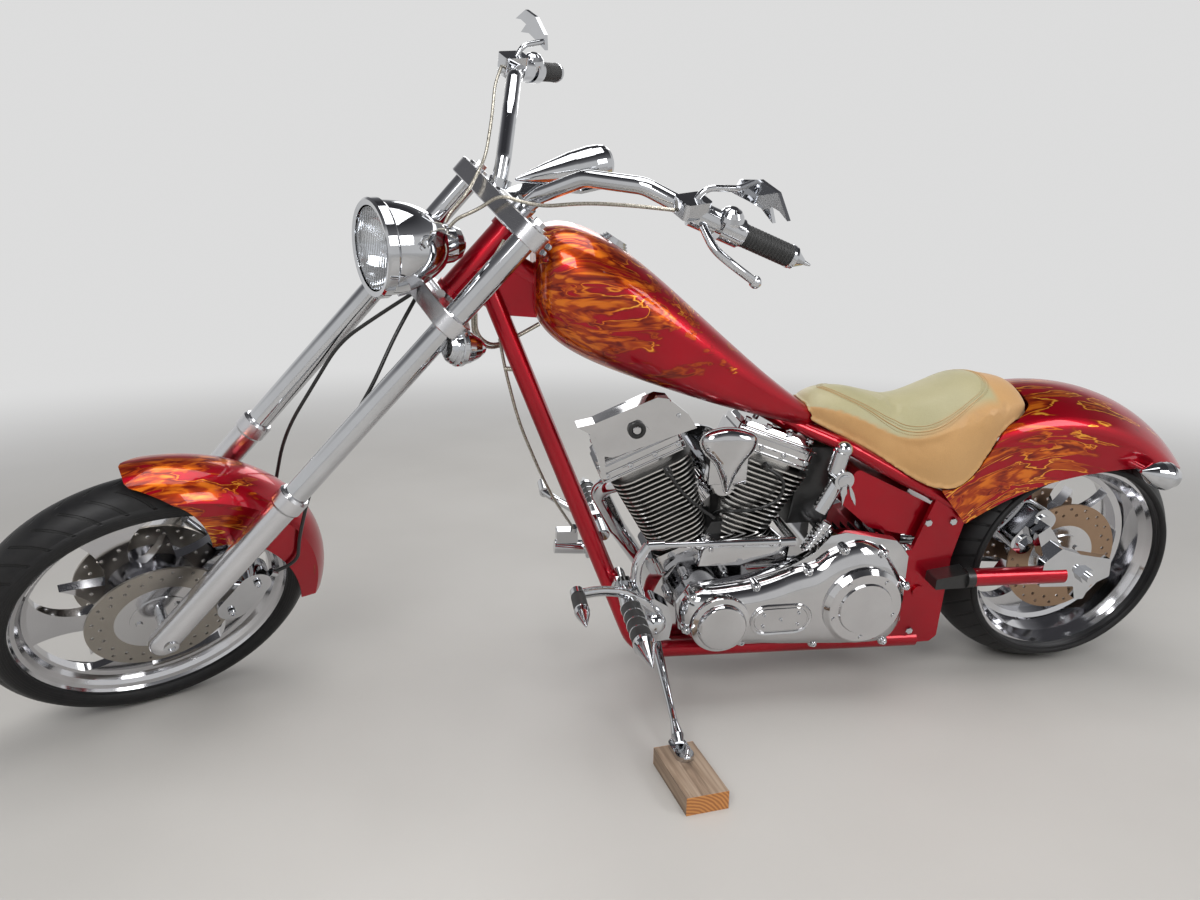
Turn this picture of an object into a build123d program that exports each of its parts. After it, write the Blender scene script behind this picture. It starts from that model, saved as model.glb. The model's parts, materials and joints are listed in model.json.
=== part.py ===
from build123d import *
import os
from math import cos, degrees, radians, sin, sqrt

# A long-fork chopper, parked leaning on its side stand with the handlebar on its left stop.
# Lengths are millimetres and angles degrees. Pieces are drawn on the upright motorcycle:
# X forward from the rear axle, Y to the rider's left, Z up from the floor. The fork's pieces
# are drawn with the wheel straight ahead, on planes square to the fork. The last lines turn
# the fork, lean the motorcycle and put the origin on the floor under the middle of its box.

# Chassis
REAR_AXLE = (8, 328.5)
FRONT_AXLE = (2196, 350.7)
RAKE = 42.5
AXLE_LEAD = 61.6  # from the steering axis forward to the front axle and the fork tubes
LEAN = 7.8
LEFT_STOP = 33.5

# Wheels: the tyres' radii are those of a loaded 250/40-18 and 120/70-21
REAR_R = 316
REAR_CROWN_R = 150
REAR_TYRE_W = 244
REAR_LIP_R = 256
REAR_LIP_Y = 94
REAR_BARREL_R = 220
FRONT_R = 338.2
FRONT_CROWN_R = 60
FRONT_TYRE_W = 118
FRONT_LIP_R = 281
FRONT_LIP_Y = 37
FRONT_BARREL_R = 254
LIP_T = 6
DISC_R = 146
DISC_T = 5
CARRIER_R = 62
REAR_DISC_Y = 74
FRONT_DISC_Y = 62
AXLE_R = 12
BEARING_GAP = 0.3  # between an axle and what turns on it

# Fork, measured along it from the front axle
TUBE_Y = 123.6
TUBE_R = 25
LEG_R = 29
LEG_TOP = 430
LOWER_TREE_W = 887
UPPER_TREE_W = 1117
TREE_T = 37
TREE_END_R = 38
STEM_R = 15
STEM_GAP = 0.5
NECK_R = 34

# Handlebar
BAR_R = 16
BAR_ELBOW = Vector(1205, 345, 1310)
BAR_TIP = Vector(1022, 462, 1250)

# Frame
BACKBONE_R = 24
DOWNTUBE_R = 20
RAIL_R = 16
PLATE_IN = 112
PLATE_T = 12
RAIL_Y = 112
RAIL_FRONT_Z = 163
RAIL_REAR_Z = 140

# Engine
CRANK = (948, 266)
FRONT_CYLINDER_TILT = 24
REAR_CYLINDER_TILT = -21
DECK = 160
HEAD_BASE = 285
ROCKER_BASE = 382
ROCKER_TOP = 436
FIN_ROWS = 17
FIN_T = 3.4
FIN_DEPTH = 152

# Primary drive, left side
CLUTCH = (600, 300)
PRIMARY_IN = 126
PRIMARY_OUT = 192

# Final drive, right side
FRONT_PULLEY = (560, 300)
FRONT_PULLEY_R = 42
PULLEY_R = 122
BELT_LOW = -152
BELT_W = 22
BELT_T = 5

# Swingarm
ARM_R = 22
ARM_Z = 332
ARM_Y = 158
RIGHT_ARM_Y = 184

# Side stand and the block it stands on
BLOCK_L = 180
BLOCK_W = 89
BLOCK_H = 38
BLOCK_AT = (1080, 492)
BLOCK_TURN = 97.6


def wheel_lift(centre, axle, outer, crown):
    """How far a leaning wheel has to rise for its rounded tread to just touch the floor."""
    return (outer - crown) * sqrt(1 - axle.Z**2) + crown - centre.Z


# The steered frame and the parked attitude
FORK = Plane(
    origin=(FRONT_AXLE[0], 0, FRONT_AXLE[1]),
    x_dir=(cos(radians(RAKE)), 0, sin(radians(RAKE))),
    z_dir=(-sin(radians(RAKE)), 0, cos(radians(RAKE))),
)
STEM = Plane(origin=FORK.from_local_coords((-AXLE_LEAD, 0, 0)), x_dir=FORK.x_dir, z_dir=FORK.z_dir)
TURNED = Pos(*STEM.origin) * Rot(Y=-RAKE) * Rot(Z=LEFT_STOP) * Rot(Y=RAKE) * Pos(*(-STEM.origin))
front_axle_at = STEM.origin + (FORK.origin - STEM.origin).rotate(Axis((0, 0, 0), STEM.z_dir), LEFT_STOP)
front_axle_dir = Vector(0, 1, 0).rotate(Axis((0, 0, 0), STEM.z_dir), LEFT_STOP)
nose_down = 0.0
for _ in range(8):
    rear_at = Vector(REAR_AXLE[0], 0, REAR_AXLE[1]).rotate(Axis.Y, nose_down).rotate(Axis.X, -LEAN)
    rear_dir = Vector(0, 1, 0).rotate(Axis.Y, nose_down).rotate(Axis.X, -LEAN)
    front_at = front_axle_at.rotate(Axis.Y, nose_down).rotate(Axis.X, -LEAN)
    front_dir = front_axle_dir.rotate(Axis.Y, nose_down).rotate(Axis.X, -LEAN)
    rear_lift = wheel_lift(rear_at, rear_dir, REAR_R, REAR_CROWN_R)
    front_lift = wheel_lift(front_at, front_dir, FRONT_R, FRONT_CROWN_R)
    nose_down += degrees((rear_lift - front_lift) / FRONT_AXLE[0])
PARKED = Pos(0, 0, rear_lift) * Rot(X=-LEAN) * Rot(Y=nose_down)
STEERED = PARKED * TURNED
FLOOR = Location()

# The side stand's hinge: its leg folds from the block back under the primary cover
STAND_EYE = Vector(1076, 128, 201)
STAND_FOOT = Vector(1084, 422, BLOCK_H + 12)  # on the parked motorcycle
STAND_TUCKED = Vector(-286, 62, -80)
STAND_PIN_R = 7
STAND_PIN_GAP = 0.8
stand_leg = (PARKED.inverse() * Pos(*STAND_FOOT)).position - STAND_EYE
STAND_AXIS = stand_leg.cross(STAND_TUCKED).normalized()
STAND_FOLD = stand_leg.get_angle(STAND_TUCKED)

REAR_AXIS = Plane(origin=(REAR_AXLE[0], 0, REAR_AXLE[1]), x_dir=(1, 0, 0), z_dir=(0, 1, 0))
FRONT_AXIS = Plane(origin=FORK.origin, x_dir=(1, 0, 0), z_dir=(0, 1, 0))

placed = []


def put(piece, label, place):
    """Sets a finished piece down in its place on the parked motorcycle."""
    piece.part.label = label
    placed.append((piece.part, label, place))


def carve(*pieces):
    """Cuts away what the part being built would share with its neighbours."""
    for piece in pieces:
        add(piece.part, mode=Mode.SUBTRACT)


def bar(start, end, radius):
    """A straight round bar between two points."""
    run = Vector(end) - Vector(start)
    with BuildPart() as made:
        with BuildSketch(Plane(origin=start, z_dir=run)):
            Circle(radius)
        extrude(amount=run.length)
    return made.part


def bent(points, bends, radius):
    """A round tube along straight runs joined by tangent arcs."""
    with BuildPart() as made:
        with BuildLine() as path:
            FilletPolyline(*points, radius=bends)
        with BuildSketch(Plane(origin=path.line @ 0, z_dir=path.line % 0)):
            Circle(radius)
        sweep(path=path.line)
    return made.part


def hose(points, radius):
    """A held hose or cable, each bend's radius set by the shorter run beside it."""
    at = [Vector(point) for point in points]
    bends = []
    for before, here, after in zip(at, at[1:], at[2:]):
        half_turn = radians((here - before).get_angle(after - here) / 2)
        shorter = min((here - before).length, (after - here).length)
        bends.append(0.45 * shorter * cos(half_turn) / sin(half_turn))
    return bent(points, bends, radius)


def plate(outline, low_y, high_y, round_off=0.0):
    """A flat plate, its outline given as (x, z) corners, between two distances to the left."""
    with BuildPart() as made:
        with BuildSketch(Plane.XZ.offset(-low_y)) as face:
            with BuildLine():
                Polyline(*outline, close=True)
            make_face()
            if round_off:
                fillet(face.vertices(), round_off)
        extrude(amount=-(high_y - low_y))
    return made.part


def across(x, z, low_y, high_y, radius):
    """A round bar that runs across the motorcycle."""
    return bar((x, low_y, z), (x, high_y, z), radius)


def bullet(nose, face, profile):
    """A solid turned about the line from its nose to its face, from (distance, radius) corners."""
    run = Vector(face) - Vector(nose)
    axis = Plane(origin=nose, z_dir=run)
    with BuildPart() as made:
        with BuildSketch(Plane(origin=nose, x_dir=axis.x_dir, z_dir=-axis.y_dir)):
            with BuildLine():
                corners = [(radius, along * run.length) for along, radius in profile]
                Polyline((0, 0), *corners, (0, run.length), close=True)
            make_face()
        revolve(axis=Axis(nose, run))
    return made.part


def polar(radius, angle):
    """A point on a wheel's face, from its radius and its angle."""
    return (radius * cos(radians(angle)), radius * sin(radians(angle)))


def tyre(plane, outer, crown, width, bead_r):
    """A tyre with a rounded tread and short bulged sidewalls down to its beads."""
    shoulder_y = width / 2 - 10
    shoulder_r = outer - crown + sqrt(crown**2 - shoulder_y**2)
    bead_y = width / 2 - 12
    belly = (width / 2, (shoulder_r + bead_r) / 2)
    with BuildPart() as made:
        with BuildSketch(Plane(origin=plane.origin, x_dir=plane.z_dir, z_dir=plane.x_dir)):
            with BuildLine():
                ThreePointArc((-shoulder_y, shoulder_r), (0, outer), (shoulder_y, shoulder_r))
                ThreePointArc((shoulder_y, shoulder_r), belly, (bead_y, bead_r))
                Line((bead_y, bead_r), (-bead_y, bead_r))
                ThreePointArc((-bead_y, bead_r), (-belly[0], belly[1]), (-shoulder_y, shoulder_r))
            make_face()
        revolve(axis=Axis(plane.origin, plane.z_dir))
    return made.part


# Each window in a wheel's face is two flame tongues that meet at a notch, five to a wheel.
# A corner is (share of the window's outer radius, degrees round); the second of each pair
# is the middle of the arc that leads to the next corner.
FLAME = (
    ((1.00, 8), (1.00, 26)),
    ((1.00, 45), (0.78, 60)),
    ((0.45, 63), (0.58, 45)),
    ((0.80, 39), (0.64, 33)),
    ((0.50, 25), (0.73, 9)),
)
FLAME_WINDOWS = 5


def flame_windows(plane, depth, outer):
    """The flame windows of a wheel, as one solid to cut from its face."""
    with BuildPart() as made:
        with BuildSketch(plane.offset(-depth)) as face:
            for turn in range(FLAME_WINDOWS):
                start = turn * 360 / FLAME_WINDOWS
                with BuildLine():
                    for here, after in zip(FLAME, FLAME[1:] + FLAME[:1]):
                        corners = (here[0], here[1], after[0])
                        ThreePointArc(*[polar(outer * share, start + angle) for share, angle in corners])
                make_face()
        extrude(amount=2 * depth)
    return made.part


def brake_disc(plane, low, holes):
    """A drilled brake disc, two rings of holes round it."""
    with BuildPart() as made:
        with BuildSketch(plane.offset(low)):
            Circle(DISC_R)
            Circle(CARRIER_R, mode=Mode.SUBTRACT)
            with PolarLocations(DISC_R - 13, holes):
                Circle(4, mode=Mode.SUBTRACT)
            with PolarLocations(DISC_R - 29, holes, 180 / holes):
                Circle(4, mode=Mode.SUBTRACT)
        extrude(amount=DISC_T)
    return made.part


def carrier(plane, low, high):
    """The hub spacer that holds a disc, its bore running on the axle, with a ring of bolts."""
    with BuildPart() as made:
        with BuildSketch(plane.offset(low)):
            Circle(CARRIER_R)
            Circle(AXLE_R + BEARING_GAP, mode=Mode.SUBTRACT)
        extrude(amount=high - low)
    return made.part


# Frame
with BuildPart() as frame:
    with BuildSketch(STEM.offset(930)):
        Circle(NECK_R)
    extrude(amount=180)
    for level in (930, 1098):
        with BuildSketch(STEM.offset(level)):
            Circle(NECK_R + 4)
        extrude(amount=12)
    add(bar((1440, 0, 1082), (745, 0, 690), BACKBONE_R))
    add(plate([(1440, 1085), (1345, 1032), (1345, 948), (1432, 955), (1500, 1010)], -21, 21))
    for side in (1, -1):
        down = [(1462, 20, 1052), (1115, RAIL_Y, RAIL_FRONT_Z), (400, RAIL_Y, RAIL_REAR_Z)]
        add(bent([(x, y * side, z) for x, y, z in down], 90, DOWNTUBE_R))
        seat_rail = [(758, 12, 697), (640, 96, 660), (500, 108, 583), (350, 112, 505)]
        add(bent([(x, y * side, z) for x, y, z in seat_rail], (90, 200), RAIL_R))
        upright = [
            (410, 536), (322, 500), (345, 372), (345, 150), (362, 134),
            (470, 134), (488, 152), (482, 392), (452, 398),
        ]
        low, high = sorted((PLATE_IN * side, (PLATE_IN + PLATE_T) * side))
        add(plate(upright, low, high, 6))
    for x, z, radius in ((440, 160, 16), (419, 284, 22), (1085, 160, 14), (735, 150, 14)):
        add(across(x, z, -PLATE_IN, PLATE_IN, radius))
    for low, high in ((-PLATE_IN - PLATE_T - 6, -PLATE_IN), (PLATE_IN, PLATE_IN + PLATE_T + 6)):
        add(across(419, 284, low, high, 15))
    add(across(358, 518, -118, 118, 14))
    add(bar((1070, 110, 152), STAND_EYE - STAND_AXIS * 34, 12))
    add(bar(STAND_EYE - STAND_AXIS * 38, STAND_EYE + STAND_AXIS * 22, STAND_PIN_R))
    with BuildSketch(STEM.offset(900)):
        Circle(STEM_R + STEM_GAP)
    extrude(amount=240, mode=Mode.SUBTRACT)
put(frame, "frame", PARKED)

# Fuel tank: sections from the tail to the front, seated over the backbone
TANK_SECTIONS = (
    # x, bottom z, top z, half width, corner share
    (682, 690, 714, 30, 0.8),
    (760, 702, 765, 62, 0.8),
    (880, 736, 858, 96, 0.8),
    (1010, 776, 968, 122, 0.8),
    (1130, 818, 1066, 138, 0.8),
    (1240, 862, 1130, 138, 0.8),
    (1318, 912, 1140, 112, 0.8),
    (1352, 962, 1112, 70, 0.8),
)
with BuildPart() as fuel_tank:
    for x, low, high, half, share in TANK_SECTIONS:
        with BuildSketch(Plane.YZ.offset(x)):
            with Locations((0, (low + high) / 2)):
                RectangleRounded(2 * half, high - low, share * min(half, (high - low) / 2))
    loft()
    add(bar((1440, 0, 1082), (745, 0, 690), BACKBONE_R), mode=Mode.SUBTRACT)
    tunnel = [(1440, 1082), (745, 690), (600, 608), (600, 500), (1440, 500)]
    add(plate(tunnel, -BACKBONE_R, BACKBONE_R), mode=Mode.SUBTRACT)
    carve(frame)
put(fuel_tank, "fuel_tank", PARKED)

with BuildPart() as fuel_cap:
    cap_face = Plane(origin=(1186, 0, 1094), z_dir=(-sin(radians(31)), 0, cos(radians(31))))
    with BuildSketch(cap_face.offset(-20)):
        Circle(34)
    extrude(amount=30)
    with BuildSketch(cap_face.offset(10)):
        Circle(30)
    extrude(amount=5)
    with BuildSketch(cap_face.offset(15)):
        Circle(26)
    extrude(amount=5)
    carve(fuel_tank)
put(fuel_cap, "fuel_cap", PARKED)

# Oil tank
with BuildPart() as oil_tank:
    with BuildSketch(Plane.XZ.offset(-100)) as face:
        with BuildLine():
            Polyline((612, 606), (640, 520), (560, 452), (384, 408), (374, 488), close=True)
        make_face()
        fillet(face.vertices(), 14)
    extrude(amount=200)
    carve(frame)
put(oil_tank, "oil_tank", PARKED)

# Seat: sections from the nose to the back, each with a crowned top
SEAT_SECTIONS = (
    # x, bottom z, edge z, top z, half width at the edge, half width at the bottom
    (744, 722, 736, 742, 40, 38),
    (712, 706, 745, 772, 60, 58),
    (634, 668, 728, 779, 92, 90),
    (540, 618, 690, 753, 118, 118),
    (440, 566, 690, 758, 138, 140),
    (360, 574, 726, 790, 146, 148),
    (296, 672, 748, 803, 140, 142),
    (240, 716, 752, 797, 118, 120),
    (196, 730, 744, 770, 84, 86),
)
with BuildPart() as seat:
    for x, low, edge, top, half, foot in SEAT_SECTIONS:
        with BuildSketch(Plane.YZ.offset(x)):
            with BuildLine():
                ThreePointArc((-half, edge), (0, top), (half, edge))
                Polyline((half, edge), (foot, low), (-foot, low), (-half, edge))
            make_face()
    loft()
    carve(frame, fuel_tank, oil_tank)
put(seat, "seat", PARKED)

# Rear fender: a crowned shell over the tyre, its skirts cut to a long point
FENDER_T = 4
FENDER_CENTRE = (134, 0, 236)
FENDER_TOP_R = 539
FENDER_HALF_W = 143
FENDER_DROP = 66  # from the crown to the skirts' top
FENDER_TAIL_ANGLE = 142.2
FENDER_ARC = 98


def fender_arch(centre, half, side_r, crown_r, foot_r, round_off, start_angle, arc):
    """A solid arch about an axle, turned from its tail towards the front."""
    turn = radians(start_angle)
    with BuildPart() as made:
        with BuildSketch(Plane(origin=centre, x_dir=(0, 1, 0), z_dir=(sin(turn), 0, -cos(turn)))) as face:
            with BuildLine():
                ThreePointArc((-half, side_r), (0, crown_r), (half, side_r))
                Polyline((half, side_r), (half, foot_r), (-half, foot_r), (-half, side_r))
            make_face()
            fillet(face.vertices().group_by(Axis.Y)[-1], round_off)
        revolve(axis=Axis(centre, (0, 1, 0)), revolution_arc=arc)
    return made.part


with BuildPart() as rear_fender:
    add(fender_arch(
        FENDER_CENTRE, FENDER_HALF_W, FENDER_TOP_R - FENDER_DROP, FENDER_TOP_R,
        150, 50, FENDER_TAIL_ANGLE, FENDER_ARC,
    ))
    add(
        fender_arch(
            FENDER_CENTRE, FENDER_HALF_W - FENDER_T, FENDER_TOP_R - FENDER_DROP - FENDER_T,
            FENDER_TOP_R - FENDER_T, 100, 46, FENDER_TAIL_ANGLE + 2, FENDER_ARC + 4,
        ),
        mode=Mode.SUBTRACT,
    )
    with BuildSketch(Plane.XZ):
        with BuildLine():
            ThreePointArc((-320, 540), (-150, 590), (9, 588))
            ThreePointArc((9, 588), (190, 548), (339, 470))
            Polyline(
                (339, 470), (412, 556), (352, 700), (352, 900), (900, 900), (900, -200), (-600, -200),
                (-600, 540), (-320, 540),
            )
        make_face()
    extrude(amount=200, both=True, mode=Mode.SUBTRACT)
    with BuildSketch(Plane.XY.offset(300)):
        with Locations((-110, 0)):
            Ellipse(192, FENDER_HALF_W + 1)
        with Locations((200, 0)):
            Rectangle(620, 2 * FENDER_HALF_W + 2)
    extrude(amount=600, mode=Mode.INTERSECT)
    carve(seat, frame)
put(rear_fender, "rear_fender", PARKED)

# Rear turn signals: bullets on short stems under the fender's tail
with BuildPart() as rear_turn_signals:
    for side in (1, -1):
        add(bar((-88, FENDER_HALF_W * side, 600), (-88, 176 * side, 600), 9))
        add(bullet(
            (-64, 180 * side, 604), (-168, 180 * side, 582),
            (
                (0, 4), (0.12, 13), (0.28, 25), (0.45, 31), (0.6, 33),
                (0.62, 34), (0.68, 34), (0.7, 32), (0.88, 24), (1, 10),
            ),
        ))
    carve(rear_fender)
put(rear_turn_signals, "rear_turn_signals", PARKED)

# Swingarm: a tube each side from a clevis on the frame's plate back to the axle plate
ARM_FRONT_X = 304
ARM_REAR_X = 60
with BuildPart() as swingarm:
    add(bar((ARM_FRONT_X, ARM_Y, ARM_Z), (ARM_REAR_X, ARM_Y, ARM_Z - 6), ARM_R))
    add(bar((ARM_FRONT_X, -RIGHT_ARM_Y, ARM_Z), (ARM_REAR_X, -RIGHT_ARM_Y, ARM_Z - 6), ARM_R))
put(swingarm, "swingarm", PARKED)

CLEVIS = [(318, 312), (318, 352), (404, 340), (404, 312)]
with BuildPart() as swingarm_clevises:
    add(plate(CLEVIS, PLATE_IN + PLATE_T, ARM_Y + 14, 4))
    add(plate(CLEVIS, -RIGHT_ARM_Y - 14, -PLATE_IN - PLATE_T, 4))
    for middle_y in (ARM_Y, -RIGHT_ARM_Y):
        add(bar((ARM_FRONT_X, middle_y, ARM_Z), (ARM_FRONT_X + 20, middle_y, ARM_Z), ARM_R + 2))
    carve(frame, swingarm)
put(swingarm_clevises, "swingarm_clevises", PARKED)

AXLE_PLATE = [
    (124, 366), (124, 300), (30, 296), (18, 258), (-6, 258),
    (-18, 296), (-64, 318), (-58, 366), (30, 384), (84, 402),
]
with BuildPart() as axle_plates:
    add(plate(AXLE_PLATE, ARM_Y - 12, ARM_Y + 12, 5))
    add(plate(AXLE_PLATE, -RIGHT_ARM_Y - 12, -RIGHT_ARM_Y + 12, 5))
    add(across(*REAR_AXLE, -220, 220, AXLE_R), mode=Mode.SUBTRACT)
    carve(swingarm)
put(axle_plates, "axle_plates", PARKED)

with BuildPart() as rear_axle:
    add(across(*REAR_AXLE, -RIGHT_ARM_Y - 40, ARM_Y + 40, AXLE_R))
    for low, high in ((ARM_Y + 12, ARM_Y + 26), (-RIGHT_ARM_Y - 26, -RIGHT_ARM_Y - 12)):
        with BuildSketch(REAR_AXIS.offset(low)):
            RegularPolygon(20, 6)
        extrude(amount=high - low)
put(rear_axle, "rear_axle", PARKED)

# Rear wheel: a deep-dished billet rim with flame windows
REAR_FACE_IN = -14
REAR_FACE_OUT = 22
HUB_RIGHT = -96
REAR_HUB_OUT = 44
with BuildPart() as rear_rim:
    with BuildSketch(Plane(origin=REAR_AXIS.origin, x_dir=(0, 1, 0), z_dir=(1, 0, 0))):
        with BuildLine():
            Polyline(
                (REAR_LIP_Y + LIP_T, REAR_LIP_R), (REAR_LIP_Y + LIP_T, REAR_LIP_R - 16),
                (REAR_LIP_Y - 4, REAR_LIP_R - 22), (REAR_LIP_Y - 22, REAR_BARREL_R + 2),
                (REAR_FACE_OUT, REAR_BARREL_R - 4), (REAR_FACE_OUT - 6, REAR_BARREL_R - 18),
                (REAR_FACE_OUT, 74), (REAR_HUB_OUT, 60), (REAR_HUB_OUT, AXLE_R + BEARING_GAP),
                (HUB_RIGHT, AXLE_R + BEARING_GAP), (HUB_RIGHT, 34), (REAR_FACE_IN, 60),
                (REAR_FACE_IN, REAR_BARREL_R - 4), (22 - REAR_LIP_Y, REAR_BARREL_R + 2),
                (4 - REAR_LIP_Y, REAR_LIP_R - 22), (-REAR_LIP_Y - LIP_T, REAR_LIP_R - 16),
                (-REAR_LIP_Y - LIP_T, REAR_LIP_R), close=True,
            )
        make_face()
    revolve(axis=Axis(REAR_AXIS.origin, (0, 1, 0)))
    add(flame_windows(REAR_AXIS, 60, REAR_BARREL_R - 16), mode=Mode.SUBTRACT)
put(rear_rim, "rear_rim", PARKED)

with BuildPart() as rear_tyre:
    add(tyre(REAR_AXIS, REAR_R, REAR_CROWN_R, REAR_TYRE_W, REAR_LIP_R - 6))
    carve(rear_rim)
put(rear_tyre, "rear_tyre", PARKED)

DISC_HOLES = 20
with BuildPart() as rear_disc:
    add(brake_disc(REAR_AXIS, REAR_DISC_Y, DISC_HOLES))
    add(carrier(REAR_AXIS, REAR_HUB_OUT, REAR_DISC_Y + DISC_T + 4))
    with BuildSketch(REAR_AXIS.offset(REAR_DISC_Y + DISC_T + 4)):
        with PolarLocations(44, 5):
            RegularPolygon(7, 6)
    extrude(amount=5)
put(rear_disc, "rear_disc", PARKED)

with BuildPart() as rear_pulley:
    with BuildSketch(REAR_AXIS.offset(BELT_LOW)):
        Circle(PULLEY_R)
        Circle(AXLE_R + BEARING_GAP, mode=Mode.SUBTRACT)
        with PolarLocations(76, 6):
            Circle(22, mode=Mode.SUBTRACT)
    extrude(amount=BELT_W)
    with BuildSketch(REAR_AXIS.offset(BELT_LOW + BELT_W)):
        Circle(46)
        Circle(AXLE_R + BEARING_GAP, mode=Mode.SUBTRACT)
    extrude(amount=HUB_RIGHT - BELT_LOW - BELT_W)
put(rear_pulley, "rear_pulley", PARKED)

# Rear caliper, gripping the disc ahead of the axle
CALIPER_TILT = 38
CALIPER_REACH = 150
with BuildPart() as rear_caliper:
    caliper_plane = Plane(
        origin=(
            REAR_AXLE[0] + CALIPER_REACH * cos(radians(CALIPER_TILT)),
            REAR_DISC_Y + DISC_T / 2,
            REAR_AXLE[1] + CALIPER_REACH * sin(radians(CALIPER_TILT)),
        ),
        x_dir=(-sin(radians(CALIPER_TILT)), 0, cos(radians(CALIPER_TILT))),
        z_dir=(0, 1, 0),
    )
    with BuildSketch(caliper_plane.offset(-26)):
        RectangleRounded(128, 62, 24)
    extrude(amount=60)
    with BuildSketch(caliper_plane.offset(34)):
        with Locations((-32, 0), (32, 0)):
            Circle(19)
    extrude(amount=6)
    add(across(*REAR_AXLE, REAR_DISC_Y - 5, REAR_DISC_Y + DISC_T + 5, DISC_R + 5), mode=Mode.SUBTRACT)
    add(plate([(140, 432), (112, 452), (58, 384), (72, 352), (110, 366)], 114, ARM_Y - 12))
    carve(axle_plates, swingarm)
put(rear_caliper, "rear_caliper", PARKED)

# Engine: cases, finned cylinders, rocker boxes, pushrod tubes
FRONT_BORE = Plane(
    origin=(CRANK[0], 0, CRANK[1]),
    x_dir=(cos(radians(FRONT_CYLINDER_TILT)), 0, -sin(radians(FRONT_CYLINDER_TILT))),
    z_dir=(sin(radians(FRONT_CYLINDER_TILT)), 0, cos(radians(FRONT_CYLINDER_TILT))),
)
REAR_BORE = Plane(
    origin=(CRANK[0], 0, CRANK[1]),
    x_dir=(cos(radians(REAR_CYLINDER_TILT)), 0, -sin(radians(REAR_CYLINDER_TILT))),
    z_dir=(sin(radians(REAR_CYLINDER_TILT)), 0, cos(radians(REAR_CYLINDER_TILT))),
)
CAM_AT = (954, 262)
PUSHROD_R = 9
PUSHROD_ROOM_R = 12.6
PUSHROD_LOW = (30, -104, 96)
PUSHROD_HIGH = (40, -58, ROCKER_BASE - 4)


def pushrods(radius):
    """The pushrod tubes on the right, two to a cylinder, at the given radius."""
    with BuildPart() as made:
        for bore in (FRONT_BORE, REAR_BORE):
            for side in (1, -1):
                low = bore.from_local_coords((PUSHROD_LOW[0] * side, *PUSHROD_LOW[1:]))
                high = bore.from_local_coords((PUSHROD_HIGH[0] * side, *PUSHROD_HIGH[1:]))
                add(bar(low, high, radius))
    return made


with BuildPart() as crankcase:
    add(across(*CRANK, -78, 78, 128))
    for bore in (FRONT_BORE, REAR_BORE):
        with BuildSketch(bore):
            RectangleRounded(150, 136, 20)
        extrude(amount=DECK)
        with BuildSketch(bore.offset(DECK - 14)):
            RectangleRounded(164, 150, 26)
        extrude(amount=14)
    add(plate([(1095, 172), (1095, 196), (1040, 240), (800, 240), (700, 190), (700, 168)], -70, 70, 8))
    add(across(*CRANK, 78, PRIMARY_IN, 70))
    add(across(*CAM_AT, -118, -78, 88))
    with BuildSketch(Plane.XZ.offset(118)):
        with Locations(CAM_AT):
            Circle(60)
    extrude(amount=12, taper=20)
    for x, z in ((905, 344), (1003, 344), (1040, 300), (868, 300)):
        add(across(x, z, 60, 92, 11))
    carve(frame)
put(crankcase, "crankcase", PARKED)

pushrod_room = pushrods(PUSHROD_ROOM_R)
# Fin reach from the bore to the rear and to the front, at the deck and at the head
FRONT_FINS = ((80, 64), (112, 86))
REAR_FINS = ((78, 62), (116, 76))
V_FRONT_SIDE = [(936, 372), (936, 430), (958, 642), (700, 642), (700, 372)]
V_REAR_SIDE = [(924, 372), (897, 642), (1200, 642), (1200, 372)]


def cylinder(bore, reach, trim):
    """A finned cylinder and head on its deck, its fins wider towards the head."""
    pitch = (ROCKER_BASE - DECK - 12) / FIN_ROWS
    with BuildPart() as made:
        with BuildSketch(bore.offset(DECK)):
            Circle(62)
        extrude(amount=HEAD_BASE - DECK)
        with BuildSketch(bore.offset(HEAD_BASE)):
            RectangleRounded(140, 116, 24)
        extrude(amount=ROCKER_BASE - HEAD_BASE)
        for row in range(FIN_ROWS):
            share = row / (FIN_ROWS - 1)
            back = reach[0][0] + (reach[1][0] - reach[0][0]) * share
            ahead = reach[0][1] + (reach[1][1] - reach[0][1]) * share
            with BuildSketch(bore.offset(DECK + 8 + row * pitch)):
                with Locations(((ahead - back) / 2, 0)):
                    RectangleRounded(ahead + back, FIN_DEPTH + 10 * share, 48)
            extrude(amount=FIN_T)
        add(plate(trim, -200, 200), mode=Mode.SUBTRACT)
        carve(crankcase, pushrod_room)
    return made


cylinder_front = cylinder(FRONT_BORE, FRONT_FINS, V_FRONT_SIDE)
cylinder_rear = cylinder(REAR_BORE, REAR_FINS, V_REAR_SIDE)
put(cylinder_front, "cylinder_front", PARKED)
put(cylinder_rear, "cylinder_rear", PARKED)

with BuildPart() as pushrod_tubes:
    add(pushrods(PUSHROD_R).part)
    carve(crankcase)
put(pushrod_tubes, "pushrod_tubes", PARKED)


def rocker_box(bore):
    """A two-step rocker box with its bolts along the lid."""
    with BuildPart() as made:
        with BuildSketch(bore.offset(ROCKER_BASE)):
            RectangleRounded(208, 122, 16)
        extrude(amount=38)
        with BuildSketch(bore.offset(ROCKER_BASE + 38)):
            RectangleRounded(198, 110, 14)
        extrude(amount=ROCKER_TOP - ROCKER_BASE - 38)
        with BuildSketch(bore.offset(ROCKER_TOP)):
            RectangleRounded(186, 96, 12)
        extrude(amount=10, taper=30)
        carve(frame)
    return made


rocker_box_front = rocker_box(FRONT_BORE)
rocker_box_rear = rocker_box(REAR_BORE)
put(rocker_box_front, "rocker_box_front", PARKED)
put(rocker_box_rear, "rocker_box_rear", PARKED)

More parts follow.
